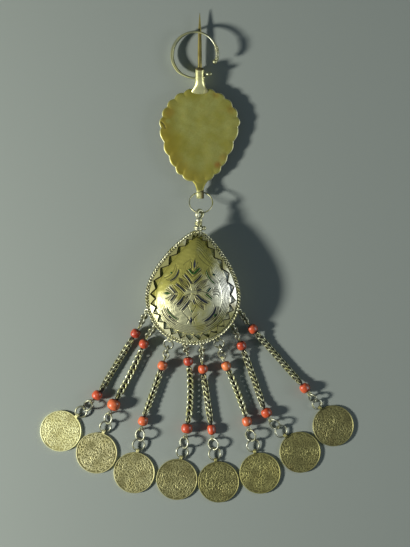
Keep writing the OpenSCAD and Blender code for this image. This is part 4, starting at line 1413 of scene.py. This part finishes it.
# %% Coin and its loop
COIN_RINGS, COIN_WAYS = 72, 184


def coin_face(turn, seed):
    """Rows of one face from the middle out, with height over the field."""
    radius = np.sqrt(np.linspace(0.0002, 1, COIN_RINGS)) * 0.25 + np.linspace(0.004, 0.75, COIN_RINGS)
    radius = radius / radius[-1] * (COIN_RADIUS - COIN_EDGE)
    points = polar(radius[:, None], angles(COIN_WAYS)).reshape(-1, 3)
    wear = np.clip(0.75 + 0.35 * unevenness(points, 4, seed), 0.25, 1)
    rim = smooth_step(RIM_FROM, RIM_TO, np.linalg.norm(points, axis=1))
    inner = relief(turned(points, "z", turn)[:, :2], seed) * wear
    height = np.maximum(STROKE_HIGH * inner, RIM_HIGH * rim)
    return (part.reshape(COIN_RINGS, COIN_WAYS, -1) for part in (points[:, :2], height, np.maximum(inner, rim)))


def coin_disc(turn, seed):
    flat, front, front_high = coin_face(turn, seed)
    _, back, back_high = coin_face(turn + 180, seed + 40)
    edge = flat[-1] * (COIN_RADIUS / (COIN_RADIUS - COIN_EDGE))
    side = [at_height(edge, z) for z in (COIN_THICK - COIN_EDGE, COIN_THICK / 2, COIN_EDGE)]
    rows = np.concatenate([np.dstack([flat, FIELD + front]), side, np.dstack([flat, RIM_HIGH - back])[::-1]])
    marks = np.concatenate([1 - front_high, np.full((3, COIN_WAYS, 1), 0.2), (1 - back_high)[::-1]]).ravel()
    return skin(rows, caps=True), marks


def coin_loop():
    outside = [(0.84 + 0.16 * abs(math.sin(math.pi * z / 0.6)) ** 0.7, z) for z in np.linspace(-0.6, 0.6, 17)]
    inside = [(0.68, z) for z in np.linspace(0.6, -0.6, 9)]
    return stood(spun([(0.7, -0.6), *outside, *inside], 28, caps=False), "x", 90)


print("coin faces:", len(coin_disc(0, 1)[0][1]))

# %% [markdown]
# The coins at the left lie full in the light and look pale, and those at the right are darker and more
# olive. Part of that is tarnish and part is shade, and a table gives each coin its own tone and gloss, which paints
# both in, darker towards the right.

# %% Strike the coins
# Columns: how light the silver is, which holds tarnish and painted shade, roughness, share of blue; one row a coin
COIN_TONES = [(1.04, 0.55, 0.53), (0.82, 0.5, 0.48), (0.64, 0.46, 0.44), (0.47, 0.43, 0.4), (0.38, 0.41, 0.34),
              (0.45, 0.41, 0.33), (0.37, 0.38, 0.34), (0.34, 0.38, 0.36)]


def coin_piece(i, d):
    disc, marks = coin_disc(47 * i, 60 + i)
    turn = math.degrees(math.atan2(d.coin_way[1], d.coin_way[0]))
    whole = joined([stood(disc, "z", turn, d.coin), along(coin_loop(), d.coin_loop, d.coin_way)])
    return whole, filled(marks, whole, 0.1)


for i, d in enumerate(drops, 1):
    light, rough, blue = COIN_TONES[i - 1]
    green, dark = (0.94, 1) if i == 1 else (0.90, 0.6)
    silver = old_silver("coin silver %d" % i, pale=tuple(light * c for c in (0.95, green, blue)),
                        olive=tuple(light * c for c in (0.74, 0.76 * green, 0.64 * blue)),
                        dark_tone=tuple(dark * light * c for c in (0.40, 0.37, 0.26 * blue)),
                        share=0.35, spots=5, rough=rough, grain=0.3, dark_range=(0.3, 1.1), metal=0.75, matte=0.5)
    shape, marks = coin_piece(i, d)
    coin = as_piece("struck_coin_%d" % i, shape, marks=marks, material=silver)
    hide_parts("coin_%d" % i)
print("coins:", len(drops))

# %% [markdown]
# ## Dress the rest
#
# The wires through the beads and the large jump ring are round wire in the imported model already, so they
# keep their meshes and only get the worn silver. The boss on the hidden front gets the plate's silver.

# %% Finishes for all that is left
kept = {"front_boss": plate_silver, "jump_ring": wire_silver}
kept.update(("bead_wires_%d" % i, wire_silver) for i in range(1, len(drops) + 1))
for name, material in kept.items():
    node = nodes[name]
    if not node.material_slots:
        node.data.materials.append(material)
    for slot in node.material_slots:
        slot.material = material
print("packed nodes that stay:", len(kept))

# %% [markdown]
# ## Table, light and camera
#
# The photograph was lit from the left, low over the table, so everything throws a long shadow to the
# right. One small lamp low on the left does that, and a weak panel on the right fills the shadows. Metal
# shows what is around it, so a card that is seen only in gloss gives it something pale to mirror. The
# room is a dim blue.

# %% Table and light
FLOOR_HALF, FLOOR_Z = 3, -0.00005
floor_mesh = bpy.data.meshes.new("table")
floor_mesh.from_pydata([(x * FLOOR_HALF, y * FLOOR_HALF, FLOOR_Z) for x, y in ((-1, -1), (1, -1), (1, 1), (-1, 1))],
                       [], [(0, 1, 2, 3)])
floor = in_scene("table", floor_mesh)
floor_mesh.materials.append(Recipe("pale table").finish(Base_Color=(0.325, 0.362, 0.318), Roughness=0.9))


def lamp(name, at, size, power, colour):
    """A round lamp that shines on the middle of the table."""
    light = bpy.data.lights.new(name, "AREA")
    light.shape = "DISK"
    light.size = size
    light.energy = power
    light.color = colour
    made = in_scene(name, light)
    made.location = at
    made.rotation_euler = (math.acos(at[2] / math.hypot(*at)), 0, math.atan2(-at[1], -at[0]) - math.pi / 2)
    return made


LEFT, RIGHT = (-0.60, -0.15, 0.33), (0.54, 0.02, 0.27)
lamp("window", LEFT, 0.10, 6.3, (1.0, 0.99, 0.95))
lamp("right panel", RIGHT, 0.2, 0.4, (0.92, 0.97, 1.0))
gloss_card = lamp("right card", RIGHT, 0.22, 1.5, (0.96, 0.98, 1.0))
gloss_card.visible_diffuse = False
world = bpy.data.worlds.new("room")
world.use_nodes = True
for socket, value in (("Color", (0.48, 0.74, 1.0, 1)), ("Strength", 0.085)):
    world.node_tree.nodes["Background"].inputs[socket].default_value = value
bpy.context.scene.world = world
bpy.context.scene.view_settings.view_transform = "Standard"

# %% [markdown]
# The camera hangs straight over the brooch. A long lens keeps the low and the high pieces at one scale,
# as in the photograph, whose long side spans 229.7 mm of the table.

# %% Camera
LENS, SENSOR, SPAN = 150.0, 36, 0.2297
CAMERA_OVER = (0.0033, -0.0065)
camera_data = bpy.data.cameras.new("camera")
camera_data.lens = LENS
camera_data.sensor_width = SENSOR
camera_data.clip_start = 0.01
camera = in_scene("camera", camera_data)
camera.location = (*CAMERA_OVER, SPAN * LENS / SENSOR)
bpy.context.scene.camera = camera
print("camera height in mm:", round(camera.location.z * 1000))
